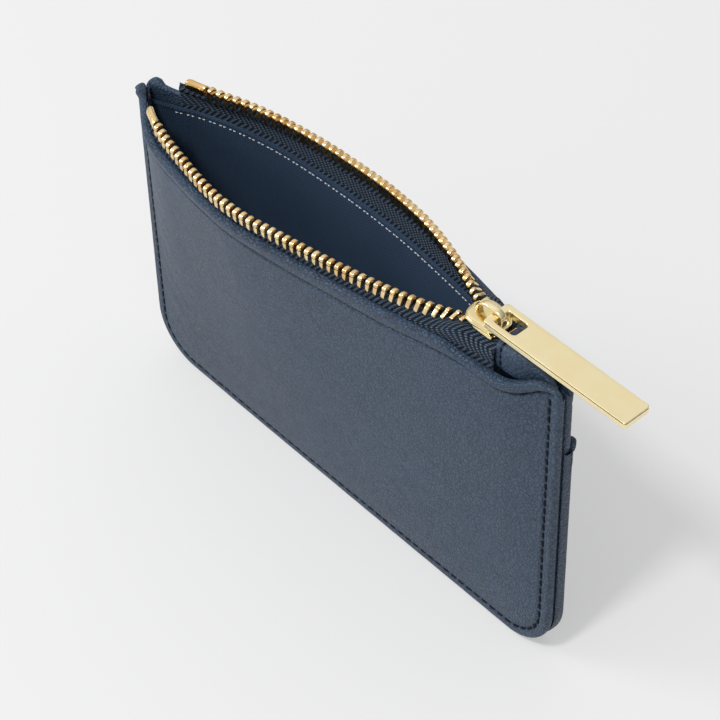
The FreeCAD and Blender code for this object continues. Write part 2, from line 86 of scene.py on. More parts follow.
def curve(table, x):
    if x <= table[0][0]:
        return table[0][1]
    if x >= table[-1][0]:
        return table[-1][1]
    n = len(table)
    h = [table[i + 1][0] - table[i][0] for i in range(n - 1)]
    d = [(table[i + 1][1] - table[i][1]) / h[i] for i in range(n - 1)]
    m = [d[0]]
    for i in range(1, n - 1):
        if d[i - 1] * d[i] <= 0:
            m.append(0.0)
        else:
            w1, w2 = 2 * h[i] + h[i - 1], h[i] + 2 * h[i - 1]
            m.append((w1 + w2) / (w1 / d[i - 1] + w2 / d[i]))
    m.append(d[-1])
    for i in range(n - 1):
        if x <= table[i + 1][0]:
            t = (x - table[i][0]) / h[i]
            a, b = table[i][1], table[i + 1][1]
            return ((2 * t**3 - 3 * t**2 + 1) * a + (t**3 - 2 * t**2 + t) * h[i] * m[i]
                    + (-2 * t**3 + 3 * t**2) * b + (t**3 - t**2) * h[i] * m[i + 1])
    return table[-1][1]


# the curves sampled once, then read by linear interpolation
XS = np.linspace(-66, 66, 2641)
SHARE = {FRONT: np.array([curve(front_share, x) for x in XS]),
         REAR: np.array([curve(rear_share, x) for x in XS])}
CHAIN = {FRONT: np.array([curve(front_chain, x) for x in XS]),
         REAR: np.array([curve(rear_chain, x) for x in XS])}
LEANT = np.array([curve(tooth_lean, x) for x in XS])
RISE = np.array([curve(front_fold_rise, x) for x in XS])
CREASE = np.array([curve(front_crease, x) for x in XS])
# a light smoothing, so that the leather bends without kinks
kernel = np.hanning(41); kernel /= kernel.sum()
for s_ in (FRONT, REAR):
    a_ = SHARE[s_]
    SHARE[s_] = np.convolve(np.pad(a_, 20, mode="edge"), kernel, mode="valid")


def share(side, x):
    return np.interp(x, XS, SHARE[side])


def lean(side, x):
    skew = np.arctan(SKEW * np.asarray(x) / SKEW_H)
    if side < 0:
        return math.radians(FRONT_OPEN) * share(side, x) - skew
    return -math.radians(REAR_OPEN) * share(side, x) - skew


def at(side, P):
    """Points of the closed flat wall (x, y outwards, z) to the open wall, in mm."""
    P = np.asarray(P, float).reshape(-1, 3)
    b = lean(side, P[:, 0])
    y, z = side * P[:, 1], P[:, 2]
    return np.stack([P[:, 0], y * np.cos(b) - z * np.sin(b), y * np.sin(b) + z * np.cos(b)], 1)


def centre_y(x, z):
    return SKEW * x * z / SKEW_H


def chain_frame(side, x):
    off = float(np.interp(x, XS, CHAIN[side]))
    g = math.radians(float(np.interp(x, XS, LEANT)))
    b = float(lean(side, x)) + math.atan(SKEW * x / SKEW_H)
    z = CHAIN_Z * math.cos(b) + 0.35 * math.sin(math.pi * min(1, max(0, (x - 34) / 8)))
    y = centre_y(x, z) + side * off
    up = Vector((0, -side * math.sin(g), math.cos(g)))
    across = Vector((0, math.cos(g), side * math.sin(g)))
    return Vector((x, y, z)), up, across


def chain_weight(side, x):
    """Share of the mouth joint's turn that brings the teeth at x to their closed place."""
    off = float(np.interp(x, XS, CHAIN[side]))
    op = math.radians(FRONT_OPEN if side < 0 else REAR_OPEN)
    return min(1.0, max(0.0, (math.asin(off / CHAIN_Z) - math.asin(1.1 / CHAIN_Z)) / op))


# ------------------------------------------------------------------ node materials
def linear(hexa):
    c = [int(hexa[i:i + 2], 16) / 255 for i in (0, 2, 4)]
    return tuple(v / 12.92 if v <= 0.04045 else ((v + 0.055) / 1.055) ** 2.4 for v in c) + (1.0,)


class Mat:
    def __init__(self, name):
        self.m = bpy.data.materials.new(name)
        self.m.use_nodes = True
        self.t = self.m.node_tree
        self.t.nodes.clear()
        self.out = self.t.nodes.new("ShaderNodeOutputMaterial")
        self.b = self.t.nodes.new("ShaderNodeBsdfPrincipled")
        self.link(self.b.outputs[0], self.out.inputs[0])

    def link(self, a, b):
        self.t.links.new(a, b)

    def node(self, kind, **kw):
        n = self.t.nodes.new(kind)
        for k, v in kw.items():
            if k.startswith("in_"):
                n.inputs[k[3:].replace("_", " ")].default_value = v
            else:
                setattr(n, k, v)
        return n

    def put(self, socket, value):
        if hasattr(value, "links") or isinstance(value, bpy.types.NodeSocket):
            self.link(value, socket)
        else:
            socket.default_value = value

    def math(self, op, a, b=None, c=None, clamp=False):
        n = self.node("ShaderNodeMath", operation=op)
        n.use_clamp = clamp
        for i, v in enumerate((a, b, c)):
            if v is not None:
                self.put(n.inputs[i], v)
        return n.outputs[0]

    def coords(self, kind="Object", scale=1.0, offset=(0, 0, 0)):
        t = self.node("ShaderNodeTexCoord")
        mp = self.node("ShaderNodeMapping")
        mp.inputs["Scale"].default_value = (scale,) * 3 if not hasattr(scale, "__len__") else scale
        mp.inputs["Location"].default_value = offset
        self.link(t.outputs[kind], mp.inputs[0])
        return mp.outputs[0]

    def noise(self, vec, scale, detail=3.0, rough=0.5, distortion=0.0):
        n = self.node("ShaderNodeTexNoise")
        n.inputs["Scale"].default_value = scale
        n.inputs["Detail"].default_value = detail
        n.inputs["Roughness"].default_value = rough
        n.inputs["Distortion"].default_value = distortion
        self.link(vec, n.inputs["Vector"])
        return n.outputs[0]

    def voronoi(self, vec, scale, feature="F1", randomness=1.0):
        n = self.node("ShaderNodeTexVoronoi", feature=feature)
        n.inputs["Scale"].default_value = scale
        n.inputs["Randomness"].default_value = randomness
        self.link(vec, n.inputs["Vector"])
        return n.outputs["Distance"]

    def ramp(self, fac, stops):
        n = self.node("ShaderNodeValToRGB")
        e = n.color_ramp.elements
        while len(e) < len(stops):
            e.new(0.5)
        for i, (p, c) in enumerate(stops):
            e[i].position = p
            e[i].color = c if len(c) == 4 else tuple(c) + (1.0,)
        self.put(n.inputs[0], fac)
        return n.outputs[0]

    def mix(self, fac, a, b, blend="MIX"):
        n = self.node("ShaderNodeMix", data_type="RGBA", blend_type=blend)
        self.put(n.inputs[0], fac)
        self.put(n.inputs[6], a)
        self.put(n.inputs[7], b)
        return n.outputs[2]

    def rng(self, v, a0, a1, b0, b1):
        n = self.node("ShaderNodeMapRange")
        for i, x in enumerate((v, a0, a1, b0, b1)):
            self.put(n.inputs[i], x)
        return n.outputs[0]

    def bump(self, height, strength, distance, normal=None):
        n = self.node("ShaderNodeBump")
        n.inputs["Strength"].default_value = strength
        n.inputs["Distance"].default_value = distance
        self.put(n.inputs["Height"], height)
        if normal is not None:
            self.link(normal, n.inputs["Normal"])
        return n.outputs[0]


def leather(name, base="31445A", light="3A4F66", dark="121B28", grain=1.0):
    m = Mat(name)
    v = m.coords("Object", 1.0)
    # warped coordinates so the pebbles are not regular
    warp = m.node("ShaderNodeTexNoise"); warp.inputs["Scale"].default_value = 420.0
    warp.inputs["Detail"].default_value = 2.0
    m.link(v, warp.inputs["Vector"])
    sub = m.node("ShaderNodeVectorMath", operation="SUBTRACT")
    m.link(warp.outputs[1], sub.inputs[0]); sub.inputs[1].default_value = (0.5, 0.5, 0.5)
    sc = m.node("ShaderNodeVectorMath", operation="SCALE"); m.link(sub.outputs[0], sc.inputs[0])
    sc.inputs["Scale"].default_value = 0.0007
    add = m.node("ShaderNodeVectorMath", operation="ADD"); m.link(v, add.inputs[0]); m.link(sc.outputs[0], add.inputs[1])
    w = add.outputs[0]
    peb = m.voronoi(w, 1020.0, "DISTANCE_TO_EDGE")           # pebbles about 1 mm
    peb_h = m.rng(peb, 0.0, 0.20, 0.0, 1.0)
    fine = m.voronoi(w, 2700.0, "DISTANCE_TO_EDGE")
    fine_h = m.rng(fine, 0.0, 0.25, 0.0, 1.0)
    crease = m.noise(v, 240.0, 4.0, 0.6, 1.2)
    crease_h = m.math("ABSOLUTE", m.math("SUBTRACT", crease, 0.5))
    crease_h = m.rng(crease_h, 0.0, 0.035, 0.0, 1.0)
    slow = m.noise(v, 55.0, 3.0, 0.5)
    big = m.noise(v, 16.0, 2.0, 0.5)
    amount = m.rng(slow, 0.35, 0.65, 0.45, 1.0)
    h = m.math("ADD", m.math("MULTIPLY", m.math("MULTIPLY", peb_h, 0.62), amount),
               m.math("ADD", m.math("MULTIPLY", fine_h, 0.05), m.math("MULTIPLY", crease_h, 0.22)))
    n = m.bump(h, 1.0 * grain, 0.00032)
    n = m.bump(slow, 0.35, 0.0009, n)
    m.link(n, m.b.inputs["Normal"])
    # painted shade: the leather turns to the dark colour in the pebble valleys and along the crease lines, where shade
    # falls
    valley_shade = m.math("MULTIPLY", m.rng(peb_h, 0.0, 0.7, 0.42, 1.0), m.rng(crease_h, 0.0, 1.0, 0.74, 1.0))
    col = m.mix(m.rng(valley_shade, 0.3, 1.0, 0.0, 1.0), linear(dark), linear(base))
    col = m.mix(m.rng(big, 0.35, 0.7, 0.0, 0.25), col, linear(light))
    m.link(col, m.b.inputs["Base Color"])
    m.link(m.rng(m.math("ADD", slow, m.math("MULTIPLY", valley_shade, 0.2)), 0.2, 0.9, 0.54, 0.42), m.b.inputs["Roughness"])
    m.b.inputs["Specular IOR Level"].default_value = 0.40
    m.b.inputs["Sheen Weight"].default_value = 0.04
    m.b.inputs["Sheen Roughness"].default_value = 0.45
    m.b.inputs["Sheen Tint"].default_value = linear("8FA2BA")
    return m.m


def plain_weave(name, thread_mm=0.44, dark="0F1A28", mid="2E4560", light="3C5573"):
    """Fine plain-woven lining; UV is in metres along the cloth."""
    m = Mat(name)
    uv = m.node("ShaderNodeUVMap"); uv.uv_map = "cloth"
    sep = m.node("ShaderNodeSeparateXYZ"); m.link(uv.outputs[0], sep.inputs[0])
    k = 1.0 / (thread_mm * MM)
    u = m.math("MULTIPLY", sep.outputs[0], k); w = m.math("MULTIPLY", sep.outputs[1], k)
    su = m.math("SINE", m.math("MULTIPLY", u, math.pi)); sw = m.math("SINE", m.math("MULTIPLY", w, math.pi))
    hu = m.math("ABSOLUTE", su); hw = m.math("ABSOLUTE", sw)
    over = m.math("MULTIPLY", su, sw)                      # checker of warp over weft
    sel = m.rng(over, -0.25, 0.25, 0.0, 1.0)
    h = m.math("ADD", m.math("MULTIPLY", hu, sel), m.math("MULTIPLY", hw, m.math("SUBTRACT", 1.0, sel)))
    fib = m.noise(m.coords("Object"), 2600.0, 2.0, 0.6)
    h2 = m.math("ADD", h, m.math("MULTIPLY", fib, 0.35))
    slow = m.noise(m.coords("Object"), 38.0, 3.0, 0.5)
    n = m.bump(h2, 0.9, 0.00022)
    n = m.bump(slow, 0.5, 0.0012, n)
    m.link(n, m.b.inputs["Normal"])
    # painted shade: the cloth takes the dark colour where the threads dip under each other
    col = m.mix(m.rng(h2, 0.25, 1.15, 0.0, 1.0), linear(dark), linear(mid))
    col = m.mix(m.rng(slow, 0.4, 0.75, 0.0, 0.35), col, linear(light))
    m.link(col, m.b.inputs["Base Color"])
    m.link(m.rng(fib, 0.3, 0.7, 0.62, 0.8), m.b.inputs["Roughness"])
    m.b.inputs["Specular IOR Level"].default_value = 0.3
    m.b.inputs["Sheen Weight"].default_value = 0.12
    m.b.inputs["Sheen Roughness"].default_value = 0.4
    m.b.inputs["Sheen Tint"].default_value = linear("5C7391")
    return m.m


RIB, COLUMN = 1.30, 3.1


def herringbone(name, rib_mm=RIB, column_mm=COLUMN, dark="04070C", mid="17273A", light="5C7793"):
    """Woven zip tape: slanting ribs that change direction from column to column."""
    m = Mat(name)
    uv = m.node("ShaderNodeUVMap"); uv.uv_map = "cloth"
    sep = m.node("ShaderNodeSeparateXYZ"); m.link(uv.outputs[0], sep.inputs[0])
    u, w = sep.outputs[0], sep.outputs[1]
    col_i = m.math("MULTIPLY", w, 1.0 / (column_mm * MM))
    saw = m.math("PINGPONG", col_i, 1.0)                    # 0..1..0 across the columns
    slant = m.math("MULTIPLY", saw, column_mm / rib_mm * 0.8)
    ph = m.math("ADD", m.math("MULTIPLY", u, 1.0 / (rib_mm * MM)), slant)
    rib = m.math("ABSOLUTE", m.math("SINE", m.math("MULTIPLY", ph, math.pi)))
    # separate threads along each rib
    ph2 = m.math("MULTIPLY", w, 1.0 / (0.42 * MM))
    th = m.math("ABSOLUTE", m.math("SINE", m.math("MULTIPLY", m.math("ADD", ph2, m.math("MULTIPLY", ph, 0.5)), math.pi)))
    fib = m.noise(m.coords("Object"), 3000.0, 2.0, 0.6)
    h = m.math("ADD", m.math("MULTIPLY", m.math("POWER", rib, 0.6), 0.9),
               m.math("ADD", m.math("MULTIPLY", th, 0.5), m.math("MULTIPLY", fib, 0.25)))
    n = m.bump(h, 0.9, 0.00036)
    m.link(n, m.b.inputs["Normal"])
    # painted shade in the rib valleys, then a painted highlight of the light colour on the crests of the threads
    col = m.mix(m.rng(h, 0.75, 1.35, 0.0, 1.0), linear(dark), linear(mid))
    col = m.mix(m.rng(m.math("MULTIPLY", rib, th), 0.6, 1.0, 0.0, 0.75), col, linear(light))
    m.link(col, m.b.inputs["Base Color"])
    m.link(m.rng(fib, 0.3, 0.7, 0.5, 0.68), m.b.inputs["Roughness"])
    m.b.inputs["Specular IOR Level"].default_value = 0.4
    m.b.inputs["Sheen Weight"].default_value = 0.10
    m.b.inputs["Sheen Roughness"].default_value = 0.35
    m.b.inputs["Sheen Tint"].default_value = linear("5C7391")
    return m.m


def gold(name, hi="F2D798", lo="D9AE66", rough=(0.16, 0.30), brush=0.0):
    m = Mat(name)
    v = m.coords("Object")
    slow = m.noise(v, 160.0, 3.0, 0.5)
    fine = m.noise(v, 2400.0, 3.0, 0.6)
    st = m.coords("Object", (220.0, 5200.0, 5200.0) if brush else (1500.0, 1500.0, 1500.0))
    streak = m.noise(st, 1.0, 3.0, 0.6)
    n = m.bump(m.math("ADD", m.math("MULTIPLY", streak, 0.6), fine), 0.10 if not brush else 0.06 * brush, 0.00004)
    n = m.bump(slow, 0.12 if not brush else 0.02, 0.0004, n)
    m.link(n, m.b.inputs["Normal"])
    col = m.mix(m.rng(slow, 0.35, 0.65, 0.0, 1.0), linear(lo), linear(hi))
    m.link(col, m.b.inputs["Base Color"])
    m.link(m.rng(m.math("ADD", m.math("MULTIPLY", streak, 0.5), m.math("MULTIPLY", slow, 0.5)), 0.3, 0.7, rough[0], rough[1]),
           m.b.inputs["Roughness"])
    m.b.inputs["Metallic"].default_value = 1.0
    return m.m


def thread(name, base, light):
    m = Mat(name)
    uv = m.node("ShaderNodeUVMap"); uv.uv_map = "cloth"
    sep = m.node("ShaderNodeSeparateXYZ"); m.link(uv.outputs[0], sep.inputs[0])
    ph = m.math("ADD", m.math("MULTIPLY", sep.outputs[0], 1.0 / (0.5 * MM)), m.math("MULTIPLY", sep.outputs[1], 2.0))
    tw = m.math("ABSOLUTE", m.math("SINE", m.math("MULTIPLY", ph, math.pi)))
    fib = m.noise(m.coords("Object"), 5000.0, 2.0, 0.6)
    h = m.math("ADD", tw, m.math("MULTIPLY", fib, 0.3))
    m.link(m.bump(h, 0.7, 0.00006), m.b.inputs["Normal"])
    # painted shade in the grooves of the twist and a painted highlight of the light colour on its crests
    m.link(m.mix(m.rng(h, 0.2, 1.1, 0.0, 1.0), linear(base), linear(light)), m.b.inputs["Base Color"])
    m.link(m.rng(fib, 0.3, 0.7, 0.5, 0.7), m.b.inputs["Roughness"])
    m.b.inputs["Specular IOR Level"].default_value = 0.15
    return m.m


SKIN_M = leather("leather_slate")
EDGE_M = leather("leather_small", grain=0.8)
LIN_M = plain_weave("lining_weave")
TAPE_M = herringbone("tape_herringbone")
FELT_M = plain_weave("interlining_felt", 0.5, "11161E", "232B37", "2E3846")
TEETH_M = gold("zip_gold", "F5DDAC", "E0B87C", (0.14, 0.28))
PULL_M = gold("satin_gold", "FAEBBE", "F8E6B6", (0.27, 0.33), 1.0)
NAVY_T = thread("thread_navy", "04070C", "0F1722")
# painted shade: a dark brown metal for the faces of the pull's groove, standing in for the shade inside it
GROOVE_SHADE_M = gold("groove_painted_shade", "6B5026", "4A3518", (0.4, 0.5))
BEIGE_T = thread("thread_beige", "8F969F", "D8DBE0")


# ------------------------------------------------------------------ mesh helpers
def make(name, verts, faces, mat, uv=None, smooth=True, weights=None):
    """Object from points in mm."""
    me = bpy.data.meshes.new(name)
    me.from_pydata([tuple(float(c) * MM for c in v) for v in verts], [], [tuple(f) for f in faces])
    if uv is not None:
        layer = me.uv_layers.new(name="cloth")
        idx = np.zeros(len(me.loops), np.int32)
        me.loops.foreach_get("vertex_index", idx)
        layer.data.foreach_set("uv", (np.asarray(uv, float)[idx] * MM).astype(np.float32).ravel())
    if weights is not None:
        at_ = me.attributes.new("w_own", "FLOAT", "POINT")
        at_.data.foreach_set("value", np.asarray(weights, np.float32))
    me.materials.append(mat)
    ob = bpy.data.objects.new(name, me)
    bpy.context.scene.collection.objects.link(ob)
    bm = bmesh.new(); bm.from_mesh(me)
    bmesh.ops.remove_doubles(bm, verts=bm.verts, dist=1e-7)
    bmesh.ops.dissolve_degenerate(bm, edges=bm.edges, dist=1e-8)
    bmesh.ops.recalc_face_normals(bm, faces=bm.faces)
    bm.to_mesh(me); bm.free()
    me.polygons.foreach_set("use_smooth", [smooth] * len(me.polygons))
    return ob


def grid_faces(rows, cols, close_cols=False, close_rows=False):
    f = []
    for i in range(rows - (0 if close_rows else 1)):
        for j in range(cols - (0 if close_cols else 1)):
            a, b = i, (i + 1) % rows
            c, d = j, (j + 1) % cols
            f.append((a * cols + c, b * cols + c, b * cols + d, a * cols + d))
    return f


def bend_with(ob, weights):
    """Bakes the piece's transform into its mesh. The weights argument is not used."""
    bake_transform(ob)
    return ob


def own_weights(ob):
    w = np.zeros(len(ob.data.vertices), np.float32)
    ob.data.attributes["w_own"].data.foreach_get("value", w)
    ob.data.attributes.remove(ob.data.attributes["w_own"])
    return w


def xs_of(ob):
    co = np.zeros(len(ob.data.vertices) * 3, np.float32)
    ob.data.vertices.foreach_get("co", co)
    return co.reshape(-1, 3)[:, 0] / MM


def by_share(ob, side):
    return bend_with(ob, share(side, xs_of(ob)))


# ------------------------------------------------------------------ outline grid
def fold_top(x, top, r=TOP_R):
    """Height of the top edge at x, with its rounded ends."""
    a = LENGTH / 2 - abs(x)
    if a >= r:
        return top
    return top - r + math.sqrt(max(0.0, r * r - (r - a) ** 2))


def rim_rows(inset, low_n, arc_n, flat, top):
    """Points (x, z) along the line inset from the outline: left side down, round, right side up.
    flat lists the x of the bottom run between the two corner centres."""
    a, r = LENGTH / 2 - inset, CORNER_R - inset
    pts = []
    zt = top
    zs = np.linspace(1.0, 0.0, low_n)
    for t in zs:
        pts.append((-a, CORNER_R + (fold_top(-a, zt) - CORNER_R) * t))
    for k in range(1, arc_n):
        t = math.pi / 2 * k / arc_n
        pts.append((-a + r - r * math.cos(t), CORNER_R - r * math.sin(t)))
    for x in flat:
        pts.append((x, inset))
    for k in range(arc_n - 1, 0, -1):
        t = math.pi / 2 * k / arc_n
        pts.append((a - r + r * math.cos(t), CORNER_R - r * math.sin(t)))
    for t in zs[::-1]:
        pts.append((a, CORNER_R + (fold_top(a, zt) - CORNER_R) * t))
    return pts


def wobble(x, z, amp, scale, seed=0.0):
    return amp * noise.noise(Vector((x / scale, z / scale, seed)))


def panel(name, side, y_in, y_out, top, mat, top_profile, surface=None, under=None,
          rise=None, lobe=None, lobe_up=1.05, low_n=130, arc_n=14, bevel=1.0, tuck=None, y_skin=None):
    """A leather wall as one closed skin.  Rim band round the outline, then the middle.
    top_profile: list of (y, dz) carried over the top edge and down inside.
    under: (inset, y) of the turned edge, from the inside to the outline."""
    ins = [0.0, 0.12, 0.3, 0.55, 0.85, 1.2, 1.6, 2.0, 2.3, 2.6, 2.9, 3.2, 3.7, 4.4, 5.4, 7.0, 9.0, 10.8, CORNER_R]
    flat = list(np.linspace(-LENGTH / 2 + CORNER_R, LENGTH / 2 - CORNER_R, 170))
    rise = rise or (lambda x: 0.0)
    lobe = lobe or (lambda x: 0.0)

    # rows lie closer together towards the fold, where the crease runs
    TS = 1 - (1 - np.linspace(0.0, 1.0, low_n)) ** 1.6

    def T(x):
        return fold_top(x, top) + rise(x)

    def edge_y(d):
        if d >= bevel:
            return y_out
        return y_out - bevel + math.sqrt(max(0.0, bevel * bevel - (bevel - d) ** 2))

    def rim(inset):
        a, r = LENGTH / 2 - inset, CORNER_R - inset
        zs = TS[::-1]
        out = [(-a, CORNER_R + (T(-a) - CORNER_R) * t) for t in zs]
        for k in range(1, arc_n):
            t = math.pi / 2 * k / arc_n
            out.append((-a + r - r * math.cos(t), CORNER_R - r * math.sin(t)))
        out += [(x, inset) for x in flat]
        for k in range(arc_n - 1, 0, -1):
            t = math.pi / 2 * k / arc_n
            out.append((a - r + r * math.cos(t), CORNER_R - r * math.sin(t)))
        out += [(a, CORNER_R + (T(a) - CORNER_R) * t) for t in zs[::-1]]
        return out

    under = under or [(1.6, y_in), (0.7, y_in + 0.03), (0.25, y_in + 0.18), (0.06, y_in + 0.48), (0.0, y_in + 0.8)]
    rows = [[(x, y, z) for x, z in rim(d)] for d, y in under]
    for d in ins:
        rows.append([(x, edge_y(d) + (surface(x, z, d) if surface else 0.0), z) for x, z in rim(d)])
    pts = [p for r_ in rows for p in r_]
    faces = grid_faces(len(rows), len(rows[0]))
    base = len(pts)
    for t in TS:
        for x in flat:
            z = CORNER_R + (T(x) - CORNER_R) * t
            pts.append((x, y_out + (surface(x, z, CORNER_R) if surface else 0.0), z))
    faces += [tuple(base + i for i in f) for f in grid_faces(low_n, len(flat))]
    line = [(-LENGTH / 2 + d, d) for d in ins][:-1] + [(x, CORNER_R) for x in flat] \
        + [(LENGTH / 2 - d, d) for d in ins[::-1]][1:]
    base = len(pts)
    profile = [(None, 0.0)] + list(top_profile)
    mid = (y_in + y_out) / 2
    for k, (y, dz) in enumerate(profile):
        for x, d in line:
            t0 = T(x)
            g = surface(x, t0, d) if surface else 0.0
            if k == 0:
                yy, z = edge_y(d) + g, t0
            else:
                e = edge_y(d) - y_out
                outer = min(1.0, max(0.0, (y - mid) / (y_out - mid)))
                yy = y + (e * 0.8 + g) * outer
                z = t0 + dz
                if dz > 0 and d < bevel:
                    z = t0 + dz * (0.25 + 0.75 * math.sqrt(max(0.0, 1 - (1 - d / bevel) ** 2)))
                L = lobe(x)
                if L > 0:
                    c_y = (y_out + y_in + 0.5) / 2
                    if dz > -2.5:
                        yy += (yy - c_y) * 0.95 * L
                    z += (lobe_up if dz >= 0 else 0.0) * L * (1 if d > 0.5 else 0.5)
            pts.append((x, yy, z))
    faces += [tuple(base + i for i in f) for f in grid_faces(len(profile), len(line))]
    P = np.array(pts, float)
    U = np.stack([P[:, 0], P[:, 2]], 1)
    if tuck:
        P = tuck(P)
    return make(name, at(side, P), faces, mat, uv=U)


def smooth_step(t):
    t = min(1.0, max(0.0, t))
    return t * t * (3 - 2 * t)


def puff(x, z, d, seed, top, edge=2.6, depth=0.42, swell=0.30):
    """Relief of a wall: a stitched channel round the edge, a slight swell inside it, small waves."""
    g = -depth * math.exp(-((d - edge) / 0.42) ** 2)
    g += swell * smooth_step((d - edge) / 7.0) - 0.05
    g += wobble(x, z, 0.10, 17.0, seed) * smooth_step((d - edge) / 5.0)
    g += wobble(x, z, 0.035, 5.0, seed + 3)
    return g


def front_surface(x, z, d):
    g = puff(x, z, d, 1.3, HEIGHT)
    crease = float(np.interp(x, XS, CREASE))
    top = HEIGHT - 0.65 + float(np.interp(x, XS, RISE))
    c = z - crease
    fade = smooth_step((LENGTH / 2 - 1.2 - abs(x)) / 1.5)
    g -= 1.0 * math.exp(-(c / 0.38) ** 2) * fade
    # the roll between the crease and the fold, plump over the end tab
    if c > 0:
        f = min(1.0, c / max(0.8, top - crease))
        swell = 0.56 + 0.60 * math.exp(-((x - 50.5) / 7.0) ** 2)
        g += swell * math.sin(math.pi * min(1.0, f * 0.62)) * fade
        # the channel of the edge stitches stops at the crease
        g += 0.32 * math.exp(-((d - 2.6) / 0.42) ** 2) * smooth_step(c / 1.0)
    # puckers below the crease at the right end
    g += 0.10 * math.exp(-((x - 55) / 8.0) ** 2) * math.exp(-((z - 70.5) / 5.0) ** 2) * math.sin(x * 0.5 + z * 1.9 + 1.1 * math.sin(x * 0.7))
    g += 0.05 * math.exp(-((x - 52) / 11.0) ** 2) * math.exp(-((z - 69.0) / 7.0) ** 2) * math.sin(z * 3.1 - x * 0.6 + 1.3 * math.sin(x * 0.5))
    g += 0.05 * math.exp(-((x + 56) / 7.0) ** 2) * math.sin(z * 0.8 + x * 0.5) * smooth_step((d - 2.6) / 3.0)
    return g


def rear_surface(x, z, d):
    g = 0.10 * smooth_step(d / 6.0) + wobble(x, z, 0.05, 12.0, 8.1)
    c = z - MOUTH_Z
    g -= 0.25 * math.exp(-(c / 0.45) ** 2)
    g += 0.12 * math.exp(-((c - 2.4) / 1.8) ** 2)
    return g


def pocket_surface(x, z, d):
    g = puff(x, z, d, 5.7, POCKET_TOP, swell=0.12)
    zl = z - (POCKET_TOP - 7.0)
    g += 0.55 * smooth_step((zl + 0.4) / 1.4) * smooth_step(d / 1.2)
    c = z - (POCKET_TOP - 2.6)
    g -= 0.26 * math.exp(-(c / 0.42) ** 2)
    return g


r_f = (HALF - FOLD_IN) / 2


def fold_profile(y_out, y_in, down):
    """Half round over the top edge, from y_out to y_in, then straight down."""
    r_ = (y_out - y_in) / 2
    out = []
    for k in range(1, 9):
        a = math.pi * k / 9
        out.append((y_out - r_ + r_ * math.cos(a), r_ * math.sin(a)))
    out += [(y_in, 0.0), (y_in, -down * 0.3), (y_in, -down * 0.7), (y_in, -down), (y_in + 0.35, -down - 0.05)]
    return out


def left_lobe(x):
    return smooth_step((-61.0 - x) / 2.2)


def tuck_rear(P):
    """Below the pocket's top the rear skin's edge lies inside the pocket panel's turned edge."""
    m_ = np.clip((62.3 - P[:, 2]) / 0.8, 0, 1)
    m_ = m_ * m_ * (3 - 2 * m_)
    P = P.copy()
    P[:, 0] *= 1 - 0.62 * m_ / 65.0
    P[:, 2] += 0.62 * m_ * np.clip(1 - P[:, 2] / 62.0, 0, 1)
    return P


front = panel("front_leather", FRONT, 0.14, HALF, HEIGHT - r_f, SKIN_M,
              fold_profile(HALF + 0.05, FOLD_IN, FOLD_DEPTH), surface=front_surface,
              rise=lambda x: float(np.interp(x, XS, RISE)), lobe=left_lobe)
rear = panel("rear_leather", REAR, 0.14, HALF, HEIGHT - r_f, SKIN_M,
             fold_profile(HALF, FOLD_IN, FOLD_DEPTH), surface=rear_surface,
             rise=lambda x: -1.25 * math.exp(-((x + 57.5) / 3.6) ** 2), lobe=left_lobe, lobe_up=0.45, tuck=tuck_rear)
pocket = panel("rear_pocket_leather", REAR, 2.34, 3.20, POCKET_TOP - 0.6, SKIN_M,
               [(3.95, 0.25), (3.7, 0.5), (3.3, 0.62), (2.85, 0.5), (2.5, 0.2), (2.42, -1.0), (2.40, -6.0)],
               surface=pocket_surface, bevel=1.0,
               under=[(1.6, 2.37), (0.75, 2.37), (0.58, 2.25), (0.50, 1.2), (0.42, 0.35), (0.25, 0.24), (0.08, 0.45), (0.0, 0.9)])
for ob, side, node in ((front, FRONT, "front_panel"), (rear, REAR, "rear_panel"), (pocket, REAR, "rear_pocket_panel")):
    by_share(ob, side)
    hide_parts(node)


# ------------------------------------------------------------------ interlining and lining
def layer(name, side, y0, y1, inset, top, mat, nx=131, nz=60, wave=0.0, rounded=True):
    """Thin closed layer with the outline of the wall, following its opening."""
    pts, uv = [], []
    a = LENGTH / 2 - inset
    for y in (y0, y1):
        for i in range(nx):
            x = -a + 2 * a * i / (nx - 1)
            r = max(CORNER_R - inset, 0.5)
            e = abs(x) - (a - r)
            low = inset + (r - math.sqrt(max(0.0, r * r - e * e)) if e > 0 else 0.0)
            for j in range(nz):
                z = low + (top - low) * j / (nz - 1)
                w = wave * noise.noise(Vector((x / 14.0, z / 16.0, 2.0 + side)))
                w *= smooth_step((a - abs(x)) / 9.0) * smooth_step((z - 6.0) / 12.0)
                pts.append((x, y + w, z))
                uv.append((x, z))
    f = grid_faces(nx, nz)
    n = nx * nz
    faces = f + [tuple(n + i for i in q[::-1]) for q in f]
    def o(i, j): return i * nz + j
    for i in range(nx - 1):
        faces.append((o(i, 0), o(i + 1, 0), n + o(i + 1, 0), n + o(i, 0)))
        faces.append((o(i + 1, nz - 1), o(i, nz - 1), n + o(i, nz - 1), n + o(i + 1, nz - 1)))
    for j in range(nz - 1):
        faces.append((o(0, j + 1), o(0, j), n + o(0, j), n + o(0, j + 1)))
        faces.append((o(nx - 1, j), o(nx - 1, j + 1), n + o(nx - 1, j + 1), n + o(nx - 1, j)))
    return make(name, at(side, np.array(pts)), faces, mat, uv=uv)


for side, word in ((FRONT, "front"), (REAR, "rear")):
    felt = layer(word + "_felt", side, 0.66, 1.16, 1.8, 64.0, FELT_M, 66, 40)
    by_share(felt, side)
    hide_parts(word + "_interlining")

    # lining cloth with its turned upper edge, a thin ridge
    cloth = layer(word + "_lining_cloth", side, 0.22, 0.50, 0.6, LINING_TOP, LIN_M, 181, 90, wave=0.16)
    by_share(cloth, side)
    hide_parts(word + "_lining")


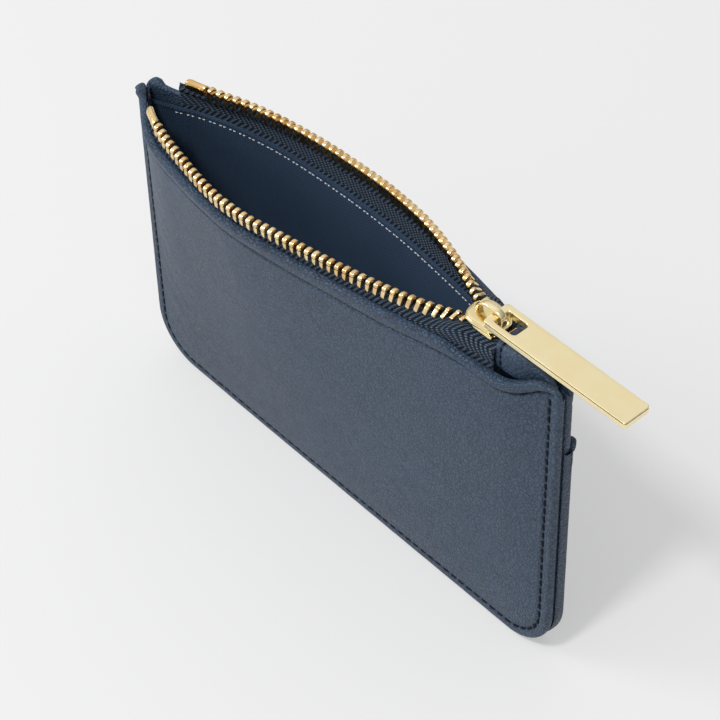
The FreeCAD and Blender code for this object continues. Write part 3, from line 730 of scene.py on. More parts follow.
def ribbon(name, side, rows_fn, x0, x1, n, mat, slot_name):
    """Strip carried along X: rows_fn(x) gives closed loop points (mm, world) and their uv v."""
    pts, uv = [], []
    for i in range(n):
        x = x0 + (x1 - x0) * i / (n - 1)
        loop, vs = rows_fn(x)
        m_ = len(loop)
        pts += loop
        uv += [(x, v_) for v_ in vs]
    faces = grid_faces(n, m_, close_cols=True)
    faces.append(tuple(range(m_))[::-1]); faces.append(tuple((n - 1) * m_ + k for k in range(m_)))
    return make(name, pts, faces, mat, uv=uv)


def hem_loop(side):
    def rows(x):
        out, vs = [], []
        cz = LINING_TOP - 0.55
        for k in range(12):
            a = 2 * math.pi * k / 12
            out.append((x, 0.30 + 0.30 * math.cos(a), cz + 0.62 * math.sin(a) + 0.05 * math.sin(x * 0.9)))
            vs.append(0.6 * k / 12 * 2)
        return [tuple(p) for p in at(side, out)], vs
    return rows


for side, word in ((FRONT, "front"), (REAR, "rear")):
    hem = ribbon(word + "_lining_hem", side, hem_loop(side), -63.8, 63.2, 300, LIN_M, "lining")
    by_share(hem, side)


# ------------------------------------------------------------------ zip tapes
def tape_rows(side):
    def rows(x):
        mid = 0.775
        low, out_ = (Vector(at(side, [(x, mid, z)])[0]) for z in (68.0, 79.4))
        c, up, across = chain_frame(side, x)
        base = c - up * (TOOTH_H / 2)
        d0 = (out_ - low).normalized()
        k = 0.38 * (base - out_).length
        k2 = k * (1 + 0.75 * min(1, max(0, (x - 30) / 6)))
        p = [out_, out_ + d0 * k, base - up * k2, base]
        coarse = [low, low.lerp(out_, 0.25), low.lerp(out_, 0.5), low.lerp(out_, 0.75)]
        for i in range(17):
            t = i / 16; u = 1 - t
            coarse.append(p[0] * u**3 + p[1] * (3 * u * u * t) + p[2] * (3 * u * t * t) + p[3] * t**3)
        coarse.append(base + up * 0.5); coarse.append(base + up * 1.05)
        acc = [0.0]
        for i in range(1, len(coarse)):
            acc.append(acc[-1] + (coarse[i] - coarse[i - 1]).length)
        total = acc[-1]
        arr = np.array([tuple(c_) for c_ in coarse])
        # from the teeth outwards, so that the ribs keep their pitch along the tape
        vs = np.concatenate([np.linspace(0, 9.6, 49), np.linspace(9.6, total, 9)[1:]])
        path = [Vector([float(np.interp(total - v_, acc, arr[:, k_])) for k_ in range(3)]) for v_ in vs]
        one, two = [], []
        for i, q in enumerate(path):
            a, b = path[max(i - 1, 0)], path[min(i + 1, len(path) - 1)]
            d = (b - a).normalized()
            n = Vector((0, -d.z, d.y))
            v_ = vs[i]
            saw = v_ / COLUMN
            saw = abs(((saw + 1) % 2) - 1)
            ph = x / RIB + saw * COLUMN / RIB * 0.8
            rib = abs(math.sin(math.pi * ph)) ** 0.7
            # corded edge under the teeth
            bead = 0.20 * math.exp(-((v_ - 1.5) / 0.55) ** 2)
            h = 0.07 + 0.27 * rib * smooth_step((v_ - 1.3) / 0.6) * smooth_step((9.6 - v_) / 0.6) + bead
            one.append(q + n * h); two.append(q - n * h)
        return [tuple(v_) for v_ in one + two[::-1]], list(vs) + list(vs[::-1])
    return rows


def tape_weights(side, ob):
    """From the wall's share at the fold to the chain's at the teeth."""
    co = np.zeros(len(ob.data.vertices) * 3, np.float32)
    ob.data.vertices.foreach_get("co", co)
    co = co.reshape(-1, 3) / MM
    w = np.zeros(len(co))
    for i, (x, y, z) in enumerate(co):
        t = smooth_step((z - 79.0) / 3.2)
        w[i] = float(share(side, x)) * (1 - t) + chain_weight(side, x) * t
    return w


for side, word in ((FRONT, "front"), (REAR, "rear")):
    tp = ribbon(word + "_tape_cloth", side, tape_rows(side), -57.0, 48.6, 600, TAPE_M, "tape")
    bend_with(tp, tape_weights(side, tp))
    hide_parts(word + "_zip_tape")


# ------------------------------------------------------------------ teeth
def tooth_mesh():
    """One die-cast tooth in its own axes: x along the chain, y across the tape, z up to the head.
    Two legs clamp the tape, the head is round with a dimple on one face and a nib on the other."""
    bm = bmesh.new()
    a, h = TOOTH_T / 2, TOOTH_H / 2
    s = 0.42
    sections = []
    prof = [(-s, -h), (-a * 0.96, -h + 0.05), (-a, -h + 0.5), (-a * 0.93, -0.1), (-a * 0.86, 0.25), (-a * 0.97, 0.6),
            (-a * 0.98, 0.85), (-a * 0.80, h - 0.28), (-a * 0.42, h - 0.05), (0, h), (a * 0.42, h - 0.05),
            (a * 0.80, h - 0.28), (a * 0.98, 0.85), (a * 0.97, 0.6), (a * 0.86, 0.25), (a * 0.93, -0.1), (a, -h + 0.5),
            (a * 0.96, -h + 0.05), (s, -h), (s, -h + 1.15), (s * 0.5, -h + 1.32), (-s * 0.5, -h + 1.32), (-s, -h + 1.15)]
    for k, (xx, inset) in enumerate([(-0.5, 0.16), (-0.42, 0.05), (-0.25, 0.0), (0.25, 0.0), (0.42, 0.05), (0.5, 0.16)]):
        sec = []
        for (y, z) in prof:
            f = 1 - inset / a
            sec.append(bm.verts.new((xx, y * f, (z - 0.0) * (1 - inset / h) if z > 0 else z + inset * 0.4)))
        sections.append(sec)
    n = len(prof)
    for p, q in zip(sections[:-1], sections[1:]):
        for j in range(n):
            bm.faces.new((p[j], p[(j + 1) % n], q[(j + 1) % n], q[j]))
    # end faces built as strips between the two sides, so they shade well
    for sec, flip in ((sections[0], False), (sections[-1], True)):
        # legs and head: match left and right points
        pairs = [(sec[9], sec[9]), (sec[8], sec[10]), (sec[7], sec[11]), (sec[6], sec[12]), (sec[5], sec[13]),
                 (sec[4], sec[14])]
        for (l0, r0), (l1, r1) in zip(pairs[:-1], pairs[1:]):
            vs = [l0, r0, r1, l1] if l0 != r0 else [l0, r1, l1]
            bm.faces.new(vs)
        # neck down to the slot
        bm.faces.new([sec[4], sec[14], sec[20], sec[21]])
        bm.faces.new([sec[4], sec[21], sec[22], sec[3]])
        bm.faces.new([sec[14], sec[15], sec[19], sec[20]])
        bm.faces.new([sec[3], sec[22], sec[0], sec[2]])
        bm.faces.new([sec[2], sec[0], sec[1]])
        bm.faces.new([sec[15], sec[16], sec[18], sec[19]])
        bm.faces.new([sec[16], sec[17], sec[18]])
    bmesh.ops.recalc_face_normals(bm, faces=bm.faces)
    me = bpy.data.meshes.new("tooth_source")
    bm.to_mesh(me); bm.free()
    return me


def dent(co, width):
    """Dimple on one face of the head and a nib on the other, both kept inside the tooth's pitch."""
    x, y, z = co
    g = math.exp(-((y / 0.42) ** 2 + ((z - 0.78) / 0.34) ** 2))
    if x < 0:
        return x + 0.30 * g
    return x + 0.16 * g


source = tooth_mesh()
bm0 = bmesh.new(); bm0.from_mesh(source)
bmesh.ops.subdivide_edges(bm0, edges=bm0.edges, cuts=1, use_grid_fill=True, smooth=0.0)
src_v = np.array([v.co[:] for v in bm0.verts])
bm0.verts.index_update()
src_f = [[v.index for v in f.verts] for f in bm0.faces]
bm0.free()


def teeth_row(name, side, shift, node):
    pts, faces, w = [], [], []
    x = FIRST + shift
    k = 0
    while x < LAST:
        width = TOOTH_W if x < LOCKED_X else TOOTH_WL
        c, up, across = chain_frame(side, x)
        flip = 1 if side < 0 else -1
        base = len(pts)
        wt = chain_weight(side, x)
        jy = 0.05 * math.sin(k * 2.3)
        for v in src_v:
            xx = dent(v, width) * width * flip
            q = c + across * (v[1] + jy * 0.4) + up * (v[2])
            pts.append((x + xx + 0.03 * math.sin(k * 1.7), q.y, q.z))
            w.append(wt)
        faces += [[base + i for i in f] for f in src_f]
        x += PITCH; k += 1
    ob = make(name, pts, faces, TEETH_M, uv=[(p[0], p[2]) for p in pts], weights=w)
    mod = ob.modifiers.new("soft", "SUBSURF"); mod.levels = 1; mod.render_levels = 1
    bpy.context.view_layer.objects.active = ob
    dg = bpy.context.evaluated_depsgraph_get()
    me2 = bpy.data.meshes.new_from_object(ob.evaluated_get(dg))
    ob.modifiers.clear()
    ob.data = me2
    bend_with(ob, own_weights(ob))
    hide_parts(node)
    return ob


teeth_row("front_teeth_row", FRONT, 0.0, "front_teeth")
teeth_row("rear_teeth_row", REAR, -PITCH / 2, "rear_teeth")


def stop_tube(name, side, x_first, node):
    """Top stop: a bent sheet tube over the tape, with its seam underneath and a slightly flared mouth."""
    x1 = x_first - TOOTH_W / 2 - 0.55
    x0 = x1 - 4.6
    n, m_ = 15, 28
    pts, w = [], []
    for i in range(n):
        t = i / (n - 1)
        x = x0 + (x1 - x0) * t
        c, up, across = chain_frame(side, x)
        end = 1 - 0.10 * smooth_step((abs(t - 0.5) - 0.42) / 0.08)
        for k in range(m_):
            a = 2 * math.pi * (k + 0.5) / m_ - math.pi / 2
            ry, rz = 1.06 * end, 1.28 * end
            y, z = ry * math.cos(a), 0.12 + rz * math.sin(a)
            # open seam towards the tape
            if k == 0 or k == m_ - 1:
                z += 0.5; y *= 1.6
            # flattened on the two sides by the pliers
            y *= 1 - 0.10 * math.exp(-((z - 0.1) / 0.5) ** 2) * math.exp(-((t - 0.5) / 0.25) ** 2)
            q = c + across * y + up * z
            pts.append((x, q.y, q.z)); w.append(chain_weight(side, x))
    faces = grid_faces(n, m_, close_cols=True)
    for i in (0, n - 1):
        x = x0 if i == 0 else x1
        c, up, across = chain_frame(side, x)
        base = len(pts)
        for k in range(m_):
            p = pts[i * m_ + k]
            q = c + up * 0.12
            pts.append((x + (0.25 if i == 0 else -0.25), p[1] * 0.72 + q.y * 0.28, p[2] * 0.72 + q.z * 0.28)); w.append(chain_weight(side, x))
        for k in range(m_):
            k2 = (k + 1) % m_
            faces.append((i * m_ + k, i * m_ + k2, base + k2, base + k))
        faces.append(tuple(base + k for k in range(m_)))
    ob = make(name, pts, faces, TEETH_M, uv=[(p[0], p[2]) for p in pts], weights=w)
    bend_with(ob, own_weights(ob))
    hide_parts(node)


stop_tube("front_stop_tube", FRONT, FIRST, "front_top_stop")
stop_tube("rear_stop_tube", REAR, FIRST - PITCH / 2, "rear_top_stop")

# ------------------------------------------------------------------ slider and pull
SKEW_A = math.atan(SKEW * CHAIN_Z / SKEW_H)
TO_CHAIN = Matrix.Translation((0, 0, CHAIN_Z)) @ Matrix.Rotation(SKEW_A, 4, "Z")


def finish_metal(bm, name, mat, node, body, subdiv=0, angle=40):
    bmesh.ops.recalc_face_normals(bm, faces=bm.faces)
    bm.transform(TO_CHAIN)
    bm.transform(Matrix.Scale(MM, 4))
    me = bpy.data.meshes.new(name)
    bm.to_mesh(me); bm.free()
    me.materials.append(mat)
    ob = bpy.data.objects.new(name, me)
    bpy.context.scene.collection.objects.link(ob)
    if subdiv:
        mod = ob.modifiers.new("soft", "SUBSURF"); mod.levels = subdiv; mod.render_levels = subdiv
        dg = bpy.context.evaluated_depsgraph_get()
        me2 = bpy.data.meshes.new_from_object(ob.evaluated_get(dg))
        ob.modifiers.clear(); ob.data = me2
    ob.data.polygons.foreach_set("use_smooth", [True] * len(ob.data.polygons))
    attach(ob, body)
    if node:
        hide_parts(node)
    return ob


def plate_outline(n=72):
    """Shield outline of the slider plate: broad round nose, pinched waist, straight tail."""
    x0, x1 = 37.2, 47.4
    pts = []
    for k in range(n):
        a = 2 * math.pi * k / n
        c, s = math.cos(a), math.sin(a)
        ex = 2.6 if c > 0 else 2.2
        r = (abs(c) ** ex + abs(s) ** ex) ** (-1 / ex)
        x = 42.3 + 5.1 * r * c
        half = 4.25 - 0.55 * smooth_step((x - 38.5) / 5.0)
        pts.append((x, half * r * s))
    return pts


def slider():
    bm = bmesh.new()
    outline = plate_outline()
    n = len(outline)

    def plate(sign):
        # rings from the inner face outwards and over: z is measured from the middle plane
        cx, cy = 42.3, 0.0
        rings = [(0.90, 1.40), (0.965, 1.42), (1.0, 1.52), (1.0, 1.85), (0.985, 2.12), (0.94, 2.34), (0.86, 2.46), (0.74, 2.50),
                 (0.5, 2.52), (0.25, 2.53)]
        vs = []
        for f, z in rings:
            vs.append([bm.verts.new((cx + (x - cx) * f, cy + (y - cy) * f,
                                     sign * (z - (0.35 * smooth_step((38.9 - (cx + (x - cx) * f)) / 1.7) if z > 1.6 else 0))))
                       for x, y in outline])
        for p, q in zip(vs[:-1], vs[1:]):
            for k in range(n):
                bm.faces.new((p[k], p[(k + 1) % n], q[(k + 1) % n], q[k]))
        bm.faces.new(vs[0]); bm.faces.new(vs[-1])

    plate(1); plate(-1)

    def flange(sy, sz):
        # side flange, rounded, from the waist to the tail
        m_, k_ = 14, 12
        vs = []
        for i in range(m_):
            t = i / (m_ - 1)
            x = 41.0 + 5.7 * t
            e = 1 - 0.5 * smooth_step((abs(t - 0.5) - 0.38) / 0.12)
            ring = []
            for j in range(k_):
                a = 2 * math.pi * j / k_
                y = sy * (3.44 + 0.38 * math.copysign(abs(math.cos(a)) ** 0.6, math.cos(a)) * e)
                z = sz * (1.03 + 0.47 * math.copysign(abs(math.sin(a)) ** 0.6, math.sin(a)) * (0.85 + 0.15 * e))
                ring.append(bm.verts.new((x, y, z)))
            vs.append(ring)
        for p, q in zip(vs[:-1], vs[1:]):
            for j in range(k_):
                bm.faces.new((p[j], p[(j + 1) % k_], q[(j + 1) % k_], q[j]))
        bm.faces.new(vs[0]); bm.faces.new(vs[-1])

    for sy in (1, -1):
        for sz in (1, -1):
            flange(sy, sz)
    # the wedge that parts the two rows
    ring_l, ring_h = [], []
    for k in range(16):
        a = 2 * math.pi * k / 16
        x = 38.55 + 0.95 * math.cos(a) - 0.1
        y = 0.68 * math.sin(a) * (1 - 0.35 * math.cos(a))
        ring_l.append(bm.verts.new((x, y, -1.45))); ring_h.append(bm.verts.new((x, y, 1.45)))
    for k in range(16):
        bm.faces.new((ring_l[k], ring_l[(k + 1) % 16], ring_h[(k + 1) % 16], ring_h[k]))
    bm.faces.new(ring_l); bm.faces.new(ring_h)
    return finish_metal(bm, "slider_shell", TEETH_M_SLIDER, "slider_body", "slider")


TEETH_M_SLIDER = gold("slider_gold", "F8EABF", "EDD79F", (0.12, 0.22))
slider()


def crown():
    """Arched bridge over the slider, wide at the nose and slimmer along the top."""
    top_z = 2.5
    path = [(39.55, top_z - 0.1), (39.5, top_z + 0.6), (39.75, top_z + 1.4), (40.35, top_z + 2.15), (41.2, top_z + 2.72),
            (42.2, top_z + 2.92), (43.4, top_z + 2.95), (44.6, top_z + 2.93), (45.6, top_z + 2.8), (46.3, top_z + 2.4),
            (46.65, top_z + 1.8), (46.72, top_z + 1.1), (46.7, top_z + 0.45), (46.7, top_z - 0.1)]
    width = [1.15, 1.05, 0.98, 0.92, 0.88, 0.85, 0.84, 0.84, 0.82, 0.80, 0.80, 0.80, 0.84, 0.9]
    thick = [0.55, 0.5, 0.48, 0.46, 0.44, 0.43, 0.42, 0.42, 0.42, 0.42, 0.42, 0.42, 0.44, 0.48]
    bm = bmesh.new()
    vs = []
    for i, (x, z) in enumerate(path):
        a = Vector(path[max(i - 1, 0)]); b = Vector(path[min(i + 1, len(path) - 1)])
        d = (b - a).normalized()
        nx, nz = -d.y, d.x
        ring = []
        for k in range(12):
            t = 2 * math.pi * k / 12
            u = math.copysign(abs(math.cos(t)) ** 0.7, math.cos(t)) * width[i]
            v = math.copysign(abs(math.sin(t)) ** 0.7, math.sin(t)) * thick[i]
            ring.append(bm.verts.new((x + nx * v, u, z + nz * v)))
        vs.append(ring)
    for p, q in zip(vs[:-1], vs[1:]):
        for k in range(12):
            bm.faces.new((p[k], p[(k + 1) % 12], q[(k + 1) % 12], q[k]))
    bm.faces.new(vs[0]); bm.faces.new(vs[-1])
    return finish_metal(bm, "slider_crown", TEETH_M_SLIDER, "slider_bridge", "slider", subdiv=1)


crown()


def pull():
    """Flat bar pull with a window and a fine bevel all round."""
    z0 = 2.5 + 0.35
    t, w, x0, x1 = 1.8, 7.2, 44.1, 84.2
    bev = 0.26

    def rounded(xa, xb, h, ra, rb, n=8):
        """Rounded rectangle, ra at the xa end, rb at the xb end, anticlockwise."""
        pts = []
        for (cx, cy, a0, r) in ((xb - rb, h - rb, 0, rb), (xa + ra, h - ra, 90, ra), (xa + ra, -h + ra, 180, ra), (xb - rb, -h + rb, 270, rb)):
            for k in range(n + 1):
                a = math.radians(a0 + 90 * k / n)
                pts.append((cx + r * math.cos(a), cy + r * math.sin(a)))
        return pts

    n = 8
    outer = rounded(x0, x1, w / 2, 0.9, 0.75, n)
    inner = rounded(45.95, 51.8, 4.3 / 2, 0.45, 0.95, n)
    bm = bmesh.new()
    N = len(outer)
    # rings: z and offset, going up the outside, over the top, down the window, back under
    def ring(pts, dz, off, cx, cy):
        out = []
        for (x, y) in pts:
            out.append(bm.verts.new((x + off * (-1 if x > cx else 1), y + off * (-1 if y > cy else 1), z0 + dz)))
        return out
    cx = (x0 + x1) / 2; cxi = 48.9
    seq = []
    for dz, off in ((0.0, bev), (0.08, 0.08), (bev, 0.0), (t - 0.45, 0.0), (t - 0.43, 0.02), (t - 0.42, 0.34), (t - 0.22, 0.34),
                    (t - 0.21, 0.02), (t - 0.19, 0.0), (t - 0.10, 0.0), (t - 0.03, 0.03), (t, 0.11)):
        seq.append(ring(outer, dz, off, cx, 0))
    inn = []
    for dz, off in ((t, -0.22), (t - 0.07, -0.06), (t - 0.22, 0.0), (0.22, 0.0), (0.07, -0.06), (0.0, -0.22)):
        inn.append(ring(inner, dz, off, cxi, 0))
    allr = seq + inn
    for i, (p, q) in enumerate(zip(allr, allr[1:] + allr[:1])):
        for k in range(N):
            f = bm.faces.new((p[k], p[(k + 1) % N], q[(k + 1) % N], q[k]))
            # the groove's faces take the dark painted-shade metal
            if i in (4, 5, 6):
                f.material_index = 1
    ob = finish_metal(bm, "pull_plate", PULL_M, "pull_bar", "pull")
    ob.data.materials.append(GROOVE_SHADE_M)
    return ob


plate = pull()
# keep the flat faces flat and the bevels crisp
for p_ in plate.data.polygons:
    pass
bev_mod = plate.modifiers.new("wn", "WEIGHTED_NORMAL")
bev_mod.keep_sharp = True
bev_mod.weight = 90

stop_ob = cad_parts["bottom_stop"]
for sl in stop_ob.material_slots:
    sl.material = TEETH_M


# ------------------------------------------------------------------ zip end tab
def end_tab():
    """Leather strip over the tape ends, with one row of stitches, tapering into the seam."""
    rows = [(48.05, 84.20, 77.2, 3.5), (48.15, 84.45, 76.9, 3.8), (48.6, 84.55, 76.8, 3.92), (49.2, 84.50, 76.8, 3.9),
            (49.45, 84.34, 76.8, 3.76), (49.65, 84.08, 76.8, 3.58), (49.85, 84.34, 76.8, 3.78), (50.4, 84.56, 76.8, 3.98), (51.5, 84.60, 76.8, 3.98),
            (52.8, 84.50, 76.7, 3.72), (54.0, 84.15, 76.6, 3.35), (55.4, 83.5, 76.6, 2.75),
            (57.0, 82.6, 76.6, 2.0), (58.4, 81.6, 76.6, 1.35), (59.8, 80.7, 76.6, 0.95), (61.2, 79.5, 76.5, 0.75), (62.6, 78.3, 76.2, 0.5)]
    pts, uv = [], []
    m_ = 28
    for x, zt, zb, hw in rows:
        cy = centre_y(x, zt)
        for k in range(m_):
            a = 2 * math.pi * k / m_
            ca, sa = math.cos(a), math.sin(a)
            y = hw * math.copysign(abs(ca) ** 0.5, ca)
            z = (zt + zb) / 2 + (zt - zb) / 2 * math.copysign(abs(sa) ** 0.4, sa)
            z += 0.10 * noise.noise(Vector((x / 2.5, y / 2.5, 4.0)))
            pts.append((x, cy + y, z)); uv.append((x, y))
    n = len(rows)
    faces = grid_faces(n, m_, close_cols=True)
    faces.append(tuple(range(m_))); faces.append(tuple((n - 1) * m_ + k for k in range(m_)))
    ob = make("end_tab_leather", pts, faces, EDGE_M, uv=uv)
    mod = ob.modifiers.new("soft", "SUBSURF"); mod.levels = 2; mod.render_levels = 2
    dg = bpy.context.evaluated_depsgraph_get()
    me2 = bpy.data.meshes.new_from_object(ob.evaluated_get(dg))
    ob.modifiers.clear(); ob.data = me2
    ob.data.polygons.foreach_set("use_smooth", [True] * len(ob.data.polygons))
    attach(ob, "purse"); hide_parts("right_zip_end_tab")


end_tab()


# ------------------------------------------------------------------ stitches
def stitch_set(name, mat, items, side, node, rad=0.17, weight_fn=None, ride=None):
    """items: (point, direction, normal, length) in mm, each a plump thread that dips at both ends."""
    pts, faces, uv, w = [], [], [], []
    n, m_ = 9, 8
    for c, t, nrm, ln in items:
        c, t, nrm = Vector(c), Vector(t).normalized(), Vector(nrm).normalized()
        b = nrm.cross(t).normalized()
        base = len(pts)
        for i in range(n):
            u = i / (n - 1)
            s = (u - 0.5) * ln
            prof = math.sqrt(max(0.0, 1 - (2 * u - 1) ** 4))
            r_ = rad * (0.35 + 0.65 * prof)
            lift = 0.02 + 0.10 * prof - 0.20 * (1 - prof)
            for k in range(m_):
                a = 2 * math.pi * k / m_
                p = c + t * s + nrm * (lift + r_ * math.sin(a)) + b * (r_ * 1.15 * math.cos(a))
                pts.append(tuple(p)); uv.append((s + c.x, rad * a)); w.append(0)
        f = grid_faces(n, m_, close_cols=True)
        faces += [tuple(base + q for q in g) for g in f]
        faces.append(tuple(base + k for k in range(m_))[::-1])
        faces.append(tuple(base + (n - 1) * m_ + k for k in range(m_)))
    ob = make(name, pts, faces, mat, uv=uv)
    if ride:
        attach(ob, ride)
    else:
        by_share(ob, side)
    if node:
        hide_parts(node)
    return ob


def wall_frame(side, x, y, z, dx, dz):
    e = 0.4
    c = at(side, [(x, y, z)])[0]
    tx = at(side, [(x + e, y, z)])[0] - at(side, [(x - e, y, z)])[0]
    tz = at(side, [(x, y, z + e)])[0] - at(side, [(x, y, z - e)])[0]
    o = at(side, [(x, y + 1, z)])[0] - c
    n = np.cross(tx, tz)
    if n @ o < 0:
        n = -n
    return c, tx * dx + tz * dz, n


def rim_point(s, inset, low_z):
    a, r = LENGTH / 2 - inset, CORNER_R - inset
    side_l = low_z - CORNER_R
    arc_l, flat_l = math.pi * r / 2, 2 * (a - r)
    total = 2 * side_l + 2 * arc_l + flat_l
    flip = s > total / 2
    if flip:
        s = total - s
    if s < side_l:
        x, z, dx, dz = -a, low_z - s, 0.0, -1.0
    elif s < side_l + arc_l:
        t = (s - side_l) / r
        x, z = -a + r - r * math.cos(t), CORNER_R - r * math.sin(t)
        dx, dz = math.sin(t), -math.cos(t)
    else:
        x, z, dx, dz = -a + r + (s - side_l - arc_l), inset, 1.0, 0.0
    return (-x, z, dx, -dz) if flip else (x, z, dx, dz)


def rim_items(side, y0, surf, low_z, ln=2.35, step=3.3):
    a, r = LENGTH / 2 - STITCH_IN, CORNER_R - STITCH_IN
    total = 2 * (low_z - CORNER_R) + math.pi * r + 2 * (a - r)
    n = int(total / step)
    out = []
    for k in range(n):
        x, z, dx, dz = rim_point((k + 0.5) * total / n, STITCH_IN, low_z)
        y = y0 + surf(x, z, STITCH_IN)
        c, t, nr = wall_frame(side, x, y + 0.03, z, dx, dz)
        tilt = 0.13
        out.append((c, t + np.cross(nr / np.linalg.norm(nr), t) * tilt, nr, ln))
    return out


front_rim = rim_items(FRONT, HALF + 0.06, front_surface, 77.6, 1.85, 2.45)
rear_rim = rim_items(REAR, 3.26, pocket_surface, POCKET_TOP - 7.6, 1.85, 2.45)
stitch_set("front_rim_thread", NAVY_T, front_rim, FRONT, "perimeter_stitching", rad=0.27)
stitch_set("rear_rim_thread", NAVY_T, rear_rim, REAR, None, rad=0.27)


def row_items(side, y0, surf, z_of, x_end=61.0, ln=1.9, step=2.9, inward=False):
    out, x = [], -x_end + ln / 2
    while x < x_end:
        z = z_of(x) if callable(z_of) else z_of
        slope = (z_of(x + 0.5) - z_of(x - 0.5)) if callable(z_of) else 0.0
        y = y0 + (surf(x, z, LENGTH / 2 - abs(x)) if surf else 0.0)
        c, t, nr = wall_frame(side, x, y, z, 1.0, slope)
        if inward:
            nr = -nr
        out.append((c, t, nr, ln))
        x += step
    return out


stitch_set("front_mouth_thread", NAVY_T, row_items(FRONT, HALF + 0.03, front_surface, lambda x: float(np.interp(x, XS, CREASE)), 60.5),
           FRONT, "front_mouth_stitching", rad=0.24)
stitch_set("rear_mouth_thread", NAVY_T, row_items(REAR, HALF + 0.03, rear_surface, MOUTH_Z), REAR,
           "rear_mouth_stitching", rad=0.16)
stitch_set("pocket_lip_thread", NAVY_T, row_items(REAR, 3.23, pocket_surface, POCKET_TOP - 2.6, 61.5), REAR,
           "pocket_lip_stitching", rad=0.16)
stitch_set("rear_lining_thread", BEIGE_T, row_items(REAR, 0.16, None, LINING_Z, 58.0, 0.72, 2.4, inward=True)
           + row_items(REAR, 0.16, None, LINING_Z, 57.05, 0.72, 2.4, inward=True), REAR, "lining_stitching", rad=0.12)
stitch_set("front_lining_thread", BEIGE_T, row_items(FRONT, 0.16, None, LINING_Z, 58.0, 0.72, 2.4, inward=True)
           + row_items(FRONT, 0.16, None, LINING_Z, 57.05, 0.72, 2.4, inward=True), FRONT, None, rad=0.12)
tab_items = []
for k in range(4):
    y = -2.55 + 1.7 * k
    tab_items.append(((49.65, y + centre_y(49.65, 84), 84.12), (0.12, 1, 0), (0, 0, 1), 1.25))
for k in range(4):
    z = 83.0 - 1.75 * k
    for sy in (-1, 1):
        tab_items.append(((49.65, sy * 3.6 + centre_y(49.65, z), z), (0.1, 0, 1), (0, sy, 0), 1.25))
stitch_set("end_tab_thread", NAVY_T, tab_items, None, "end_tab_stitching", rad=0.16, ride="purse")

# ------------------------------------------------------------------ floor, light, camera
FLOOR_A, FLOOR_E = 0.40, 0.380


def stage_floor():
    me = bpy.data.meshes.new("floor")
    s = 3.0
    me.from_pydata([(-s, -s, 0), (s, -s, 0), (s, s, 0), (-s, s, 0)], [], [(0, 1, 2, 3)])
    m = Mat("floor_paper")
    v = m.coords("Object")
    n = m.noise(v, 900.0, 3.0, 0.6)
    m.link(m.mix(m.rng(n, 0.3, 0.7, 0.0, 1.0), (FLOOR_A, FLOOR_A, FLOOR_A, 1), (FLOOR_A * 1.01, FLOOR_A * 1.01, FLOOR_A * 1.01, 1)),
           m.b.inputs["Base Color"])
    m.b.inputs["Roughness"].default_value = 1.0
    m.b.inputs["Specular IOR Level"].default_value = 0.0
    # an evenly lit studio ground: part of its brightness does not depend on the object's shade
    m.b.inputs["Emission Color"].default_value = (1.0, 1.0, 1.0, 1.0)
    m.b.inputs["Emission Strength"].default_value = FLOOR_E
    me.materials.append(m.m)
    ob = bpy.data.objects.new("floor", me)
    bpy.context.scene.collection.objects.link(ob)
    ob.location.z = -0.0003


stage_floor()

world = bpy.data.worlds.new("studio")
bpy.context.scene.world = world
world.use_nodes = True
wn = world.node_tree
bg = wn.nodes["Background"]
tc = wn.nodes.new("ShaderNodeTexCoord")
dt = wn.nodes.new("ShaderNodeVectorMath"); dt.operation = "DOT_PRODUCT"
wn.links.new(tc.outputs["Generated"], dt.inputs[0])
dt.inputs[1].default_value = Vector((-0.22, -0.50, 0.84)).normalized()
mr = wn.nodes.new("ShaderNodeMapRange")
mr.inputs[1].default_value = -1.0
mr.inputs[2].default_value = 1.0
wn.links.new(dt.outputs["Value"], mr.inputs[0])
rp = wn.nodes.new("ShaderNodeValToRGB")
for i_, (p_, v_) in enumerate(((0.0, 0.12), (0.25, 0.22), (0.60, 0.46), (0.75, 0.60), (0.90, 0.95), (1.0, 1.0))):
    e_ = rp.color_ramp.elements[i_] if i_ < 2 else rp.color_ramp.elements.new(p_)
    e_.position = p_
    e_.color = (v_, v_, v_, 1.0)
wn.links.new(mr.outputs[0], rp.inputs[0])
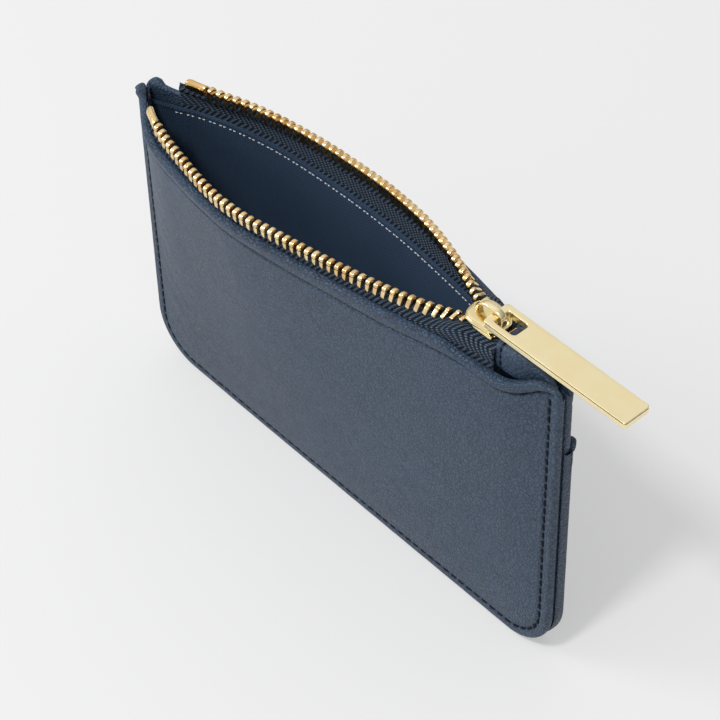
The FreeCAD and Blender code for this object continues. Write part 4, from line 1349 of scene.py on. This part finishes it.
# a pale band at the horizon, so that the wall behind a low view is as light as the ground
sp = wn.nodes.new("ShaderNodeSeparateXYZ")
wn.links.new(tc.outputs["Generated"], sp.inputs[0])
band = wn.nodes.new("ShaderNodeMapRange")
for i_, v_ in enumerate((0.07, 0.14, 1.0, 0.0)):
    band.inputs[i_ + 1].default_value = v_
wn.links.new(sp.outputs[2], band.inputs[0])
mx = wn.nodes.new("ShaderNodeMix")
mx.data_type = "RGBA"
mx.inputs[7].default_value = (0.93, 0.93, 0.93, 1.0)
wn.links.new(band.outputs[0], mx.inputs[0])
wn.links.new(rp.outputs[0], mx.inputs[6])
wn.links.new(mx.outputs[2], bg.inputs[0])
bg.inputs[1].default_value = 0.86


def area(name, loc, target, size, power, size_y=None):
    l = bpy.data.lights.new(name, "AREA")
    l.shape = "RECTANGLE" if size_y else "SQUARE"
    l.size = size
    if size_y:
        l.size_y = size_y
    l.energy = power
    o = bpy.data.objects.new(name, l)
    bpy.context.scene.collection.objects.link(o)
    o.location = loc
    d = Vector(target) - Vector(loc)
    o.rotation_euler = d.to_track_quat("-Z", "Y").to_euler()
    return o


area("key", (0.12, -0.80, 1.50), (0, 0, 0.03), 0.22, 13.5)
area("side", (-0.62, -0.50, 0.50), (-0.05, 0, 0.05), 0.34, 2.6)
area("card", (-0.64, 0.54, 0.86), (0.03, 0, 0.08), 0.95, 1.0)

# camera fitted to the view: position and the three axes, in mm
C = Vector((455.2998, -384.1272, 650.9091))
right = Vector((0.6594, 0.7517, -0.0152)).normalized()
back = Vector((0.5324, -0.4525, 0.7154)).normalized()
up_ = back.cross(right).normalized()
right = up_.cross(back).normalized()
cam = bpy.data.cameras.new("camera")
cam_o = bpy.data.objects.new("camera", cam)
bpy.context.scene.collection.objects.link(cam_o)
cam_o.matrix_world = Matrix(((right.x, up_.x, back.x, C.x * MM), (right.y, up_.y, back.y, C.y * MM),
                             (right.z, up_.z, back.z, C.z * MM), (0, 0, 0, 1)))
cam.sensor_width = 36.0
cam.lens = 3944.85 / 720 * 36.0
cam.clip_start = 0.05
cam.clip_end = 20.0
cam.dof.use_dof = False
bpy.context.scene.camera = cam_o

bpy.context.scene.view_settings.view_transform = "Standard"
